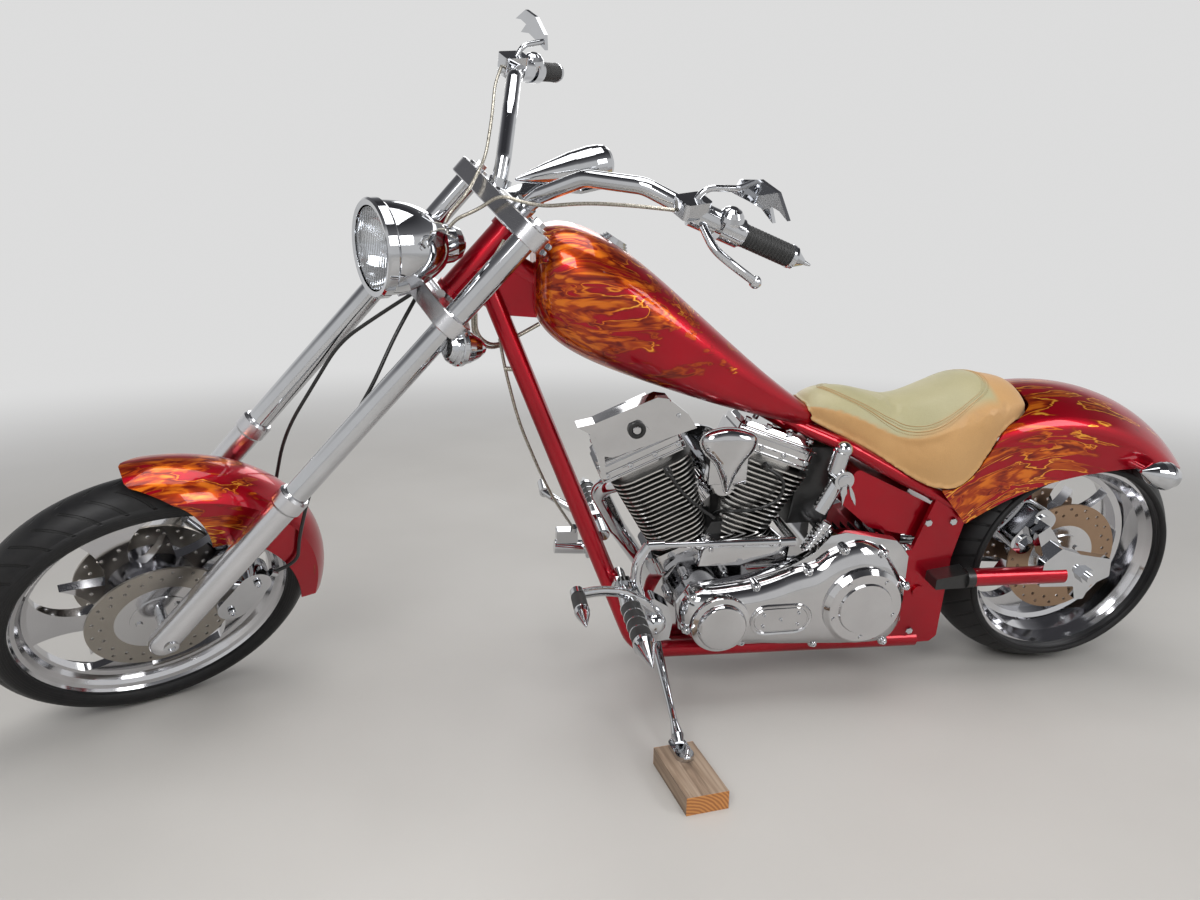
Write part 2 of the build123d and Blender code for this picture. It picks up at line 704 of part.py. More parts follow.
# Coil cover: a flat chrome cover and its pointed visor round the coil on the front rocker box
with BuildPart() as coil_cover:
    with BuildSketch(FRONT_BORE.offset(ROCKER_TOP + 10)):
        with Locations((0, 14)):
            Rectangle(140, 110)
    extrude(amount=60)
    add(plate([(1226, 702), (1058, 776), (1018, 744), (996, 712), (1184, 648), (1206, 652)], 66, 84))
    add(plate([(1264, 722), (1226, 730), (1090, 786), (1064, 782), (1060, 768), (1224, 698)], 44, 88))
    add(plate([(1228, 704), (1202, 652), (1196, 596), (1206, 596), (1218, 652), (1238, 702)], 63, 82))
    with BuildSketch(Plane.XZ.offset(-78)):
        with Locations(Location((1124, 708), 24)):
            Ellipse(27, 15)
    extrude(amount=-12)
put(coil_cover, "coil_cover", PARKED)

# Horn cover: a spade-shaped shell on a back plate between the cylinders
with BuildPart() as horn_cover:
    with BuildSketch(Plane.XZ.offset(-90)):
        with BuildLine():
            ThreePointArc((990, 696), (915, 722), (842, 702))
            ThreePointArc((842, 702), (888, 640), (915, 552))
            ThreePointArc((915, 552), (944, 640), (990, 696))
        make_face()
    extrude(amount=-20, taper=24)
    add(plate([(962, 652), (872, 652), (872, 574), (962, 574)], 82, 90, 4))
    add(bar((915, 60, 668), (915, 90, 668), 14))
    carve(rocker_box_front, rocker_box_rear, cylinder_front, cylinder_rear)
put(horn_cover, "horn_cover", PARKED)

# Plug leads: from a boot on each head down into the vee
LEAD_R = 4
BOOT_R = 9
with BuildPart() as plug_leads:
    for lead in (
        [
            (1058, 82, 612), (1057, 98, 610), (1028, 102, 566), (984, 96, 524),
            (940, 88, 490), (932, 56, 470), (932, 24, 440),
        ],
        [
            (828, 82, 616), (826, 98, 613), (784, 102, 586), (790, 100, 534),
            (846, 94, 508), (914, 88, 506), (922, 52, 490), (922, 16, 462),
        ],
    ):
        add(hose(lead, LEAD_R))
        add(bar(lead[0], lead[1], BOOT_R))
    carve(cylinder_front, cylinder_rear, crankcase, horn_cover, rocker_box_front, rocker_box_rear)
put(plug_leads, "plug_leads", PARKED)

with BuildPart() as air_cleaner:
    with BuildSketch(Plane.XZ.offset(140)):
        with Locations((930, 560)):
            Circle(78)
    extrude(amount=40, taper=14)
    add(across(930, 560, -140, -128, 80))
    add(across(930, 560, -130, -60, 30))
    carve(cylinder_front, cylinder_rear, crankcase, pushrod_tubes, rocker_box_front, rocker_box_rear)
put(air_cleaner, "air_cleaner", PARKED)

# Exhaust: two pipes down the right side
PIPE_R = 22
with BuildPart() as exhaust_pipes:
    front_pipe = [
        (1116, 0, 562), (1198, -28, 526), (1138, -76, 400),
        (1056, -160, 256), (900, -208, 190), (230, -220, 196),
    ]
    rear_pipe = [(736, -60, 556), (672, -128, 512), (646, -212, 330), (560, -220, 252), (230, -220, 252)]
    add(bent(front_pipe, (30, 60, 60, 120), PIPE_R))
    add(bent(rear_pipe, (40, 60, 60), PIPE_R))
    carve(cylinder_front, cylinder_rear, crankcase, rocker_box_front)
put(exhaust_pipes, "exhaust_pipes", PARKED)

# Transmission behind the engine, with its side plate and the belt's front pulley
with BuildPart() as transmission:
    gearbox = [(700, 166), (700, 400), (660, 436), (520, 436), (492, 400), (492, 190), (520, 166)]
    add(plate(gearbox, -96, 100, 16))
    for x in range(540, 700, 20):
        add(plate([(x, 300), (x, 442), (x + 5, 442), (x + 5, 300)], 40, 112))
    add(across(*CLUTCH, 100, PRIMARY_IN, 60))
    add(plate([(604, 428), (446, 404), (430, 300), (520, 300)], 104, 112, 6))
    for x, z in ((590, 418), (462, 396), (448, 314)):
        add(across(x, z, 112, 118, 8))
    add(across(*FRONT_PULLEY, -128, -96, 30))
    add(across(*FRONT_PULLEY, BELT_LOW, -128, FRONT_PULLEY_R))
    carve(crankcase, frame, oil_tank)
put(transmission, "transmission", PARKED)

# Drive belt on the right, from the gearbox pulley to the rear wheel's
with BuildPart() as drive_belt:
    with BuildSketch(Plane(origin=(0, BELT_LOW, 0), x_dir=(1, 0, 0), z_dir=(0, -1, 0))):
        with BuildSketch(mode=Mode.PRIVATE) as outside:
            with Locations(REAR_AXLE):
                Circle(PULLEY_R + BEARING_GAP + BELT_T)
            with Locations(FRONT_PULLEY):
                Circle(FRONT_PULLEY_R + BELT_T)
            make_hull()
        with BuildSketch(mode=Mode.PRIVATE) as inside:
            with Locations(REAR_AXLE):
                Circle(PULLEY_R + BEARING_GAP)
            with Locations(FRONT_PULLEY):
                Circle(FRONT_PULLEY_R)
            make_hull()
        add(outside.sketch)
        add(inside.sketch, mode=Mode.SUBTRACT)
    extrude(amount=-BELT_W)
put(drive_belt, "drive_belt", PARKED)

# Primary drive cover
DOME_AT = (940, 271)
INSPECTION_AT = (798, 277)
PRIMARY_SCREWS = (
    (1012, 236), (1016, 322), (858, 380), (712, 394), (612, 436), (492, 404), (486, 236), (700, 196), (880, 204),
)
with BuildPart() as primary_cover:
    with BuildSketch(Plane.XZ.offset(-PRIMARY_IN)) as face:
        with BuildLine():
            Polyline(
                (1032, 232), (1036, 316), (992, 368), (858, 396), (704, 412), (640, 448),
                (536, 446), (474, 396), (470, 220), (528, 178), (866, 184), (986, 202), close=True,
            )
        make_face()
        fillet(face.vertices(), 20)
    extrude(amount=-(PRIMARY_OUT - PRIMARY_IN))
    chamfer(faces().sort_by(Axis.Y)[-1].edges(), 12)
    with BuildSketch(Plane.XZ.offset(-PRIMARY_OUT)):
        with Locations(DOME_AT):
            Circle(70)
    extrude(amount=-8, taper=30)
    with BuildSketch(Plane.XZ.offset(-PRIMARY_OUT - 8)):
        with Locations(DOME_AT):
            Circle(56)
    extrude(amount=-16, taper=20)
    with BuildSketch(Plane.XZ.offset(-PRIMARY_OUT)):
        with Locations(INSPECTION_AT):
            SlotOverall(146, 76)
    extrude(amount=9, mode=Mode.SUBTRACT)
    with BuildSketch(Plane.XZ.offset(9 - PRIMARY_OUT)):
        with Locations(INSPECTION_AT):
            SlotOverall(132, 62)
    extrude(amount=-5)
    for x, z in PRIMARY_SCREWS:
        add(across(x, z, PRIMARY_IN + 20, PRIMARY_OUT - 4, 9))
    add(across(548, 396, PRIMARY_IN, PRIMARY_OUT - 22, 44))
    add(across(632, 372, PRIMARY_IN, PRIMARY_OUT + 4, 20))
    carve(crankcase, transmission)
put(primary_cover, "primary_cover", PARKED)

with BuildPart() as derby_cover:
    add(across(*CLUTCH, PRIMARY_OUT, PRIMARY_OUT + 22, 98))
    chamfer(faces().sort_by(Axis.Y)[-1].edges(), 10)
    with BuildSketch(Plane.XZ.offset(-PRIMARY_OUT - 22)):
        with Locations(CLUTCH):
            Circle(66)
    extrude(amount=-5, taper=30)
    with BuildSketch(Plane.XZ.offset(-PRIMARY_OUT - 22)):
        with Locations(CLUTCH):
            with PolarLocations(78, 5, 54):
                Circle(6)
    extrude(amount=-3)
    carve(primary_cover)
put(derby_cover, "derby_cover", PARKED)

# Ignition switch in its chrome housing beside the rear cylinder
with BuildPart() as ignition_switch:
    add(bar((668, 128, 660), (677, 128, 612), 20))
    add(across(664, 598, 112, 152, 23))
    add(bar((664, 128, 598), (704, 128, 516), 18))
    with Locations((664, 128, 664)):
        Sphere(20)
    add(bar((672, 128, 640), (648, 100, 656), 8))
    carve(cylinder_rear, frame, oil_tank, rocker_box_rear, seat, transmission)
put(ignition_switch, "ignition_switch", PARKED)

# Foot controls, each carrying a peg's sleeve, core and spike
PEG_AT = (1165, 366)
PEG_SLEEVE_Y = 258
RUBBER_END_Y = 384
SPIKE_END_Y = 470


def peg_core(side):
    """The metal of a footpeg: its sleeve, the core inside the rubber, and its spike end."""
    profile = (
        (96, 15), (188, 15), (192, 18), (230, 20), (PEG_SLEEVE_Y - 10, 20), (PEG_SLEEVE_Y - 8, 23),
        (PEG_SLEEVE_Y, 23), (PEG_SLEEVE_Y, 9), (RUBBER_END_Y, 9), (RUBBER_END_Y, 23), (RUBBER_END_Y + 12, 24),
        (RUBBER_END_Y + 20, 20), (SPIKE_END_Y - 8, 4), (SPIKE_END_Y, 1),
    )
    with BuildPart() as made:
        with BuildSketch(Plane(origin=(PEG_AT[0], 0, PEG_AT[1]), x_dir=(1, 0, 0), z_dir=(0, 0, 1))):
            with BuildLine():
                corners = [(radius, y * side) for y, radius in profile]
                Polyline((0, 96 * side), *corners, (0, SPIKE_END_Y * side), close=True)
            make_face()
        revolve(axis=Axis((PEG_AT[0], 0, PEG_AT[1]), (0, 1, 0)))
    return made.part


PIVOT_AT = (1098, 292)
with BuildPart() as left_foot_control:
    add(peg_core(1))
    bracket = [(1122, 330), (1100, 346), (1064, 322), (1052, 280), (1058, 236), (1090, 232), (1136, 268)]
    add(plate(bracket, 146, 186, 9))
    peg_arm = [(1130, 268), (1150, 330), (1190, 356), (1184, 386), (1150, 386), (1116, 340), (1100, 290)]
    add(plate(peg_arm, 148, 168, 5))
    add(across(*PIVOT_AT, 128, 204, 25))
    with Locations((PIVOT_AT[0], 198, PIVOT_AT[1])):
        Sphere(27)
    add(hose([(1112, 166, 470), (1136, 172, 436), (1142, 176, 388), (1122, 178, 330), (1100, 178, 296)], 12))
    add(hose([(1094, 190, 300), (1118, 206, 348), (1180, 230, 394), (1234, 255, 416), (1290, 296, 434)], 11))
    add(across(1288, 434, 286, 306, 15))
    add(across(1288, 434, 306, 360, 8))
    add(bullet((1288, 356, 434), (1288, 416, 434), ((0, 15), (0.1, 16), (0.3, 14), (1, 2))))
    carve(frame, primary_cover, crankcase)
put(left_foot_control, "left_foot_control", PARKED)

with BuildPart() as right_foot_control:
    add(peg_core(-1))
    add(plate([(1150, 350), (1166, 262), (1196, 256), (1200, 300), (1186, 384), (1154, 388)], -200, -180, 6))
    add(bar((1276, -214, 280), (1172, -214, 272), 19))
    add(plate([(1216, 294), (1216, 328), (1272, 330), (1272, 296)], -230, -198, 4))
    add(bar((1226, -206, 326), (1226, -200, 342), 9))
    add(hose([(1176, -206, 330), (1216, -230, 372), (1270, -262, 396), (1296, -300, 402)], 10))
    add(across(1294, 402, -356, -292, 14))
    carve(frame, crankcase)
put(right_foot_control, "right_foot_control", PARKED)

with BuildPart() as footpegs:
    for side in (1, -1):
        for row in range(4):
            low = PEG_SLEEVE_Y + row * (RUBBER_END_Y - PEG_SLEEVE_Y) / 4
            high = low + (RUBBER_END_Y - PEG_SLEEVE_Y) / 4
            add(bar((PEG_AT[0], low * side, PEG_AT[1]), (PEG_AT[0], (high - 4) * side, PEG_AT[1]), 22))
            add(bar((PEG_AT[0], (high - 4) * side, PEG_AT[1]), (PEG_AT[0], high * side, PEG_AT[1]), 19))
    add(bar((1288, 308, 434), (1288, 355, 434), 15))
    carve(left_foot_control, right_foot_control)
put(footpegs, "footpegs", PARKED)

with BuildPart() as shift_linkage:
    add(bar((1112, 168, 470), (775, 168, 462), 7))
    for x, z in ((1096, 470), (792, 462)):
        add(bar((x + 18, 168, z), (x - 18, 168, z), 11))
    add(across(775, 462, 60, 172, 10))
    carve(left_foot_control, transmission, cylinder_front, cylinder_rear, crankcase)
put(shift_linkage, "shift_linkage", PARKED)

# Side stand: a slender leg that flares into a foot with a ball-ended hook
STAND_KNEE = STAND_EYE + stand_leg * 0.86
with BuildPart() as side_stand:
    add(bullet(STAND_EYE, STAND_EYE + stand_leg, ((0, 13), (0.3, 11), (0.6, 8), (0.8, 8), (0.93, 14), (1, 10))))
    add(bar(STAND_EYE - STAND_AXIS * 14, STAND_EYE + STAND_AXIS * 14, 17))
    add(
        bar(STAND_EYE - STAND_AXIS * 30, STAND_EYE + STAND_AXIS * 30, STAND_PIN_R + STAND_PIN_GAP),
        mode=Mode.SUBTRACT,
    )
    with BuildSketch(Plane(PARKED.inverse() * Pos(STAND_FOOT.X, STAND_FOOT.Y + 12, BLOCK_H + 0.3) * Rot(Z=97))):
        SlotOverall(78, 38)
    extrude(amount=11)
    hook = [(PARKED.inverse() * Pos(x, y, BLOCK_H + z)).position for x, y, z in (
        (STAND_FOOT.X - 8, STAND_FOOT.Y + 24, 14), (STAND_FOOT.X - 6, STAND_FOOT.Y + 46, 34),
        (STAND_FOOT.X + 2, STAND_FOOT.Y + 66, 22),
    )]
    add(hose(hook, 5))
    with Locations(hook[-1]):
        Sphere(8)
put(side_stand, "side_stand", PARKED)

with BuildPart() as wood_block:
    with BuildSketch(Plane.XY):
        with Locations(Location((*BLOCK_AT, 0), (0, 0, BLOCK_TURN))):
            Rectangle(BLOCK_L, BLOCK_W)
    extrude(amount=BLOCK_H)
put(wood_block, "wood_block", FLOOR)

# Front end
CAP_T = 6


def tree(level, stem_top):
    """A fork tree: rounded ends round the tubes and a hub on the steering axis."""
    with BuildPart() as made:
        with BuildSketch(FORK.offset(level)):
            with Locations((0, TUBE_Y), (0, -TUBE_Y)):
                Circle(TREE_END_R)
            with Locations((-AXLE_LEAD, 0)):
                Circle(40)
            make_hull()
        extrude(amount=TREE_T)
        chamfer(edges().group_by(SortBy.LENGTH)[-1], 2)
        with BuildSketch(FORK.offset(level)):
            with Locations((0, TUBE_Y), (0, -TUBE_Y)):
                Circle(TUBE_R)
        extrude(amount=TREE_T, mode=Mode.SUBTRACT)
        if stem_top:
            with BuildSketch(STEM.offset(level + TREE_T)):
                Circle(STEM_R)
            extrude(amount=stem_top - level - TREE_T)
    return made


lower_tree = tree(LOWER_TREE_W, UPPER_TREE_W)
upper_tree = tree(UPPER_TREE_W, 0)
with BuildPart() as upper_tree_capped:
    add(upper_tree.part)
    for x, y in ((0, TUBE_Y), (0, -TUBE_Y), (-AXLE_LEAD, 0)):
        with BuildSketch(FORK.offset(UPPER_TREE_W + TREE_T)):
            with Locations((x, y)):
                Circle(23)
        extrude(amount=CAP_T, taper=15)
        with BuildSketch(FORK.offset(UPPER_TREE_W + TREE_T + CAP_T)):
            with Locations((x, y)):
                RegularPolygon(13, 6)
        extrude(amount=9)
put(upper_tree_capped, "upper_tree", STEERED)

with BuildPart() as fork_tubes:
    with BuildSketch(FORK.offset(LEG_TOP)):
        with Locations((0, TUBE_Y), (0, -TUBE_Y)):
            Circle(TUBE_R)
    extrude(amount=UPPER_TREE_W + TREE_T - LEG_TOP)
put(fork_tubes, "fork_tubes", STEERED)

FENDER_BOSS_W = 250
with BuildPart() as fork_legs:
    for side in (1, -1):
        leg_axis = FORK.from_local_coords((0, TUBE_Y * side, 0))
        with BuildSketch(Plane(origin=leg_axis, x_dir=FORK.x_dir, z_dir=(0, -1, 0))):
            with BuildLine():
                Line((0, -46), (10, -45))
                ThreePointArc((10, -45), (24, -32), (LEG_R, -14))
                Polyline(
                    (LEG_R, -14), (LEG_R, LEG_TOP - 40), (LEG_R + 4, LEG_TOP - 34), (LEG_R + 4, LEG_TOP - 6),
                    (LEG_R, LEG_TOP), (0, LEG_TOP), (0, -46),
                )
            make_face()
        revolve(axis=Axis(leg_axis, FORK.z_dir))
        boss = [FORK.from_local_coords((14, y * side, FENDER_BOSS_W)) for y in (78, 104)]
        add(bar(boss[0], boss[1], 9))
    add(bar(
        FORK.from_local_coords((0, -200, 0)), FORK.from_local_coords((0, 200, 0)), AXLE_R), mode=Mode.SUBTRACT,
    )
put(fork_legs, "fork_legs", STEERED)

with BuildPart() as front_axle:
    add(across(*FRONT_AXLE, -TUBE_Y - LEG_R, TUBE_Y + LEG_R, AXLE_R))
put(front_axle, "front_axle", STEERED)

# Front wheel
FRONT_FACE = 13
FRONT_HUB = 56
with BuildPart() as front_rim:
    with BuildSketch(Plane(origin=FORK.origin, x_dir=(0, 1, 0), z_dir=(1, 0, 0))):
        with BuildLine():
            half_rim = (
                (FRONT_LIP_Y + LIP_T - 2, FRONT_LIP_R), (FRONT_LIP_Y + LIP_T - 2, FRONT_LIP_R - 8),
                (FRONT_LIP_Y - 2, FRONT_LIP_R - 12), (FRONT_LIP_Y - 6, FRONT_LIP_R - 20),
                (FRONT_LIP_Y - 14, FRONT_BARREL_R), (FRONT_FACE, FRONT_BARREL_R - 6),
                (FRONT_FACE - 4, FRONT_BARREL_R - 16), (FRONT_FACE, 84), (FRONT_HUB, 44),
                (FRONT_HUB, AXLE_R + BEARING_GAP),
            )
            Polyline(*half_rim, *[(-y, radius) for y, radius in reversed(half_rim)], close=True)
        make_face()
    revolve(axis=Axis(FORK.origin, (0, 1, 0)))
    add(flame_windows(FRONT_AXIS, 60, FRONT_BARREL_R - 12), mode=Mode.SUBTRACT)
put(front_rim, "front_rim", STEERED)

with BuildPart() as front_tyre:
    add(tyre(FRONT_AXIS, FRONT_R, FRONT_CROWN_R, FRONT_TYRE_W, FRONT_LIP_R - 6))
    carve(front_rim)
put(front_tyre, "front_tyre", STEERED)

with BuildPart() as front_discs:
    for low in (FRONT_DISC_Y, -FRONT_DISC_Y - DISC_T):
        add(brake_disc(FRONT_AXIS, low, DISC_HOLES))
    for low, high, face in (
        (FRONT_HUB, FRONT_DISC_Y + DISC_T + 2, FRONT_DISC_Y + DISC_T + 2),
        (-FRONT_DISC_Y - DISC_T - 2, -FRONT_HUB, -FRONT_DISC_Y - DISC_T - 6),
    ):
        add(carrier(FRONT_AXIS, low, high))
        with BuildSketch(FRONT_AXIS.offset(face)):
            with PolarLocations(44, 5):
                RegularPolygon(7, 6)
        extrude(amount=4)
put(front_discs, "front_discs", STEERED)

# Front calipers behind the legs
CALIPER_AT = (-118, 118)
with BuildPart() as front_calipers:
    for side in (1, -1):
        centre = FORK.from_local_coords((CALIPER_AT[0], (FRONT_DISC_Y + DISC_T / 2) * side, CALIPER_AT[1]))
        with BuildSketch(Plane(origin=centre, x_dir=FORK.z_dir, z_dir=(0, side, 0)).offset(-22)):
            SlotOverall(150, 78)
        extrude(amount=50, taper=3)
        add(bar(centre, FORK.from_local_coords((0, 90 * side, 150)), 11))
    for low in (FRONT_DISC_Y - 5, -FRONT_DISC_Y - DISC_T - 5):
        add(across(*FRONT_AXLE, low, low + DISC_T + 10, DISC_R + 5), mode=Mode.SUBTRACT)
    carve(fork_legs)
put(front_calipers, "front_calipers", STEERED)

# Front fender
FRONT_FENDER_R = 371
FRONT_FENDER_HALF_W = 77
FRONT_FENDER_T = 3
SKIRT_R = 336
with BuildPart() as front_fender:
    with BuildSketch(Plane(origin=FORK.origin, x_dir=(0, 1, 0), z_dir=(1, 0, 0))):
        inner_w = FRONT_FENDER_HALF_W - FRONT_FENDER_T
        inner_r = FRONT_FENDER_R - FRONT_FENDER_T
        with BuildLine():
            Line((-FRONT_FENDER_HALF_W, 216), (-FRONT_FENDER_HALF_W, SKIRT_R))
            ThreePointArc((-FRONT_FENDER_HALF_W, SKIRT_R), (0, FRONT_FENDER_R), (FRONT_FENDER_HALF_W, SKIRT_R))
            Polyline(
                (FRONT_FENDER_HALF_W, SKIRT_R), (FRONT_FENDER_HALF_W, 216), (inner_w, 216), (inner_w, SKIRT_R - 2),
            )
            ThreePointArc((inner_w, SKIRT_R - 2), (0, inner_r), (-inner_w, SKIRT_R - 2))
            Polyline((-inner_w, SKIRT_R - 2), (-inner_w, 216), (-FRONT_FENDER_HALF_W, 216))
        make_face()
    revolve(axis=Axis(FORK.origin, (0, 1, 0)), revolution_arc=-126)
    with BuildSketch(Plane.XZ):
        with BuildLine():
            Line((2240, 760), (2196, 716))
            ThreePointArc((2196, 716), (2128, 680), (2089, 622))
            ThreePointArc((2089, 622), (2074, 570), (2071, 530))
            Line((2071, 530), (2015, 524))
            ThreePointArc((2015, 524), (1940, 430), (1903, 270))
            Polyline((1903, 270), (1780, 262), (1780, 60), (2400, 60), (2400, 760), (2240, 760))
        make_face()
    extrude(amount=120, both=True, mode=Mode.SUBTRACT)
    with BuildSketch(Plane.XY.offset(800)):
        with Locations((2120, 0)):
            Ellipse(80, FRONT_FENDER_HALF_W + 1)
        with Locations((1920, 0)):
            Rectangle(400, 2 * FRONT_FENDER_HALF_W + 2)
    extrude(amount=-800, mode=Mode.INTERSECT)
    carve(fork_legs)
put(front_fender, "front_fender", STEERED)

# Headlight: a bullet shell with a narrower back, on a bent plate ahead of the lower tree
LENS_AT = Vector(1692, 0, 1129)
TAIL_AT = Vector(1503, 0, 1112)
LAMP = Plane(origin=LENS_AT, z_dir=LENS_AT - TAIL_AT, x_dir=(0, 1, 0))
with BuildPart() as headlight_shell:
    with BuildSketch(Plane(origin=LENS_AT, x_dir=LAMP.x_dir, z_dir=LAMP.y_dir)):
        with BuildLine():
            Polyline((80, -4), (90, -6), (94, -2), (94, 14), (90, 18), (89, 20))
            ThreePointArc((89, 20), (78, 84), (49, 134))
            Polyline((49, 134), (40, 136), (37, 162), (30, 178), (18, 187), (0, 190), (0, 172), (24, 148), (66, 84))
            Polyline((66, 84), (80, 20), (80, -4))
        make_face()
    revolve(axis=Axis(LENS_AT, LAMP.z_dir))
put(headlight_shell, "headlight_shell", STEERED)

with BuildPart() as headlight_lens:
    with BuildSketch(LAMP.offset(-7)):
        Circle(79.5)
    extrude(amount=9, taper=12)
put(headlight_lens, "headlight_lens", STEERED)

with BuildPart() as lower_tree_bracketed:
    add(lower_tree.part)
    bracket = [(1648, 1040), (1650, 1030), (1604, 1034), (1568, 1004), (1552, 1014), (1588, 1047), (1612, 1045)]
    add(plate(bracket, -26, 26))
    add(bar((1566, 30, 1018), (1566, -30, 1018), 15))
    carve(headlight_shell, frame)
put(lower_tree_bracketed, "lower_tree", STEERED)

SIGNAL_Y = 150
with BuildPart() as front_turn_signals:
    for side in (1, -1):
        add(bullet(
            (1514, SIGNAL_Y * side, 958), (1602, SIGNAL_Y * side, 983),
            (
                (0, 3), (0.08, 12), (0.25, 23), (0.45, 31), (0.62, 35),
                (0.66, 38), (0.76, 38), (0.78, 34), (0.9, 31), (1, 22),
            ),
        ))
        add(bar((1568, SIGNAL_Y * side, 978), FORK.from_local_coords((-6, 146 * side, LOWER_TREE_W + 4)), 9))
    carve(lower_tree_bracketed, fork_tubes)
put(front_turn_signals, "front_turn_signals", STEERED)

# Handlebar, with a cone and spike at each end
RISER = [(1408, 48, 1196), (1385, 78, 1242), (1340, 150, 1306), (1280, 250, 1333)]
run_out = (BAR_TIP - BAR_ELBOW).normalized()
GRIP_START = BAR_ELBOW + run_out * 74
GRIP_END = BAR_ELBOW + run_out * 182
GRIP_R = 20


def mirrored(point, side):
    """A point on the left, or its place on the right."""
    return Vector(point.X, point.Y * side, point.Z)


with BuildPart() as handlebar:
    for side in (1, -1):
        route = [(x, y * side, z) for x, y, z in RISER]
        route += [tuple(mirrored(BAR_ELBOW, side)), tuple(mirrored(GRIP_END, side))]
        add(bent(route, (30, 60, 60, 90), BAR_R))
        add(bullet(
            mirrored(GRIP_END, side), mirrored(BAR_TIP, side),
            ((0, 20), (0.16, 21), (0.2, 18), (0.62, 7), (0.66, 5), (1, 2)),
        ))
    for side in (1, -1):
        add(bar((1408, 48 * side, 1196), (1400, 54 * side, 1212), 23))
    carve(upper_tree_capped)
put(handlebar, "handlebar", STEERED)

with BuildPart() as grips:
    for side in (1, -1):
        add(bar(mirrored(GRIP_START, side), mirrored(GRIP_END, side), GRIP_R))
    carve(handlebar)
put(grips, "grips", STEERED)

# Hand controls: a lever on its perch, and a domed switch housing between it and the grip
LEVER_BALL = Vector(1155, 462, 1238)
LEVER_BLADE = ((1224, 366, 1306), (1226, 408, 1286), (1204, 440, 1270), (1176, 456, 1252))
with BuildPart() as hand_controls:
    for side in (1, -1):
        perch = BAR_ELBOW - run_out * 28
        add(bar(mirrored(perch, side), mirrored(BAR_ELBOW + run_out * 20, side), 25))
        clamp = mirrored(perch + Vector(8, 6, 0), side)
        with BuildSketch(Plane(origin=clamp, x_dir=(0, 1, 0), z_dir=(0, 0, 1))):
            RectangleRounded(44, 58, 8)
        extrude(amount=30)
        add(bar(mirrored(BAR_ELBOW + run_out * 32, side), mirrored(BAR_ELBOW + run_out * 72, side), 27))
        dome = BAR_ELBOW + run_out * 50 + Vector(0, -2, 16)
        add(bullet(
            mirrored(dome + Vector(0, 0, 24), side), mirrored(dome - Vector(0, 0, 10), side),
            ((0, 8), (0.12, 16), (0.35, 22), (0.6, 25), (1, 25)),
        ))
        add(hose([(x, y * side, z) for x, y, z in (*LEVER_BLADE, tuple(LEVER_BALL))], 8))
        add(bullet(
            mirrored(LEVER_BALL - Vector(12, 0, 0), side), mirrored(LEVER_BALL + Vector(12, 0, 0), side),
            ((0, 3), (0.1, 7), (0.3, 11), (0.5, 12), (0.7, 11), (0.9, 7), (1, 3)),
        ))
    carve(handlebar, grips)
put(hand_controls, "hand_controls", STEERED)

# Mirrors: a flame-shaped blade on a stalk from each perch
MIRROR_BLADE = (
    (342, 1352), (352, 1382), (398, 1404), (446, 1404), (486, 1372), (462, 1378), (436, 1376),
    (456, 1352), (420, 1362), (384, 1358),
)
with BuildPart() as mirrors:
    for side in (1, -1):
        with BuildSketch(Plane(origin=(1146, 0, 0), x_dir=(0, side, 0), z_dir=(side, 0, 0))):
            with BuildLine():
                Polyline(*MIRROR_BLADE, close=True)
            make_face()
        extrude(amount=8 * side)
        stalk = ((1232, 334, 1338), (1214, 338, 1366), (1152, 356, 1366))
        add(hose([(x, y * side, z) for x, y, z in stalk], 6))
    carve(hand_controls)
put(mirrors, "mirrors", STEERED)

# Gauge: a teardrop housing on a flat bracket from the risers
with BuildPart() as gauge:
    add(bullet(
        (1398, 0, 1236), (1186, 0, 1252),
        ((0, 3), (0.15, 12), (0.35, 22), (0.6, 33), (0.8, 38), (0.9, 38), (0.96, 36), (1, 30)),
    ))
    bracket = [
        (1410, 1208), (1336, 1222), (1250, 1204), (1184, 1210),
        (1184, 1204), (1250, 1198), (1336, 1214), (1404, 1200),
    ]
    add(plate(bracket, -20, 20))
    add(bar((1250, 0, 1200), (1250, 0, 1230), 14))
    carve(handlebar, upper_tree_capped)
put(gauge, "gauge", STEERED)

# Cables and hoses held along what they serve
CABLE_R = 3.5
WIRING = (
    (1267, 330, 1326), (1312, 272, 1310), (1356, 192, 1280), (1408, 110, 1236),
    (1458, 46, 1234), (1487, 30, 1202), (1528, 14, 1176), (1540, 9, 1158),
)
with BuildPart() as control_cables:
    for side in (1, -1):
        add(hose([(x, y * side, z) for x, y, z in WIRING], CABLE_R))
put(control_cables, "control_cables", STEERED)

HOSE_R = 4
HOSE_ROUTE = (
    # across the fork, to the left, along the fork
    (8, 7, LOWER_TREE_W), (10, 40, 800), (4, 87, 690), (-46, 87, 440),
    (-128, 86, 300), (-170, 86, 244), (-146, 78, 190),
)
with BuildPart() as brake_hoses:
    for side in (1, -1):
        add(hose([FORK.from_local_coords((x, y * side, w)) for x, y, w in HOSE_ROUTE], HOSE_R))
    carve(lower_tree_bracketed, front_calipers, front_fender, fork_legs)
put(brake_hoses, "brake_hoses", STEERED)

# Cables on the frame: two looms from under the tank up beside the neck, and the rear brake's
# line down the front of the frame to its master cylinder
with BuildPart() as frame_cables:
    for step in (0, 9):
        loom = [
            Vector(1338, 4 - step, 930), Vector(1392, 4 - step, 900), Vector(1440, 8, 884 - step),
            STEM.from_local_coords((-88, 38, 905 - step)), STEM.from_local_coords((-34 + step, 48, 965)),
            STEM.from_local_coords((-10 + step, 44, 1090)),
        ]
        add(hose(loom, CABLE_R))
    add(hose([(1424, 4, 900), (1414, 22, 838), (1386, 16, 716), (1312, -62, 513), (1228, -198, 338)], CABLE_R))
    add(bar((1414, 22, 838), (1390, 30, 838), 5))
    carve(frame, fuel_tank, right_foot_control)
put(frame_cables, "frame_cables", PARKED)

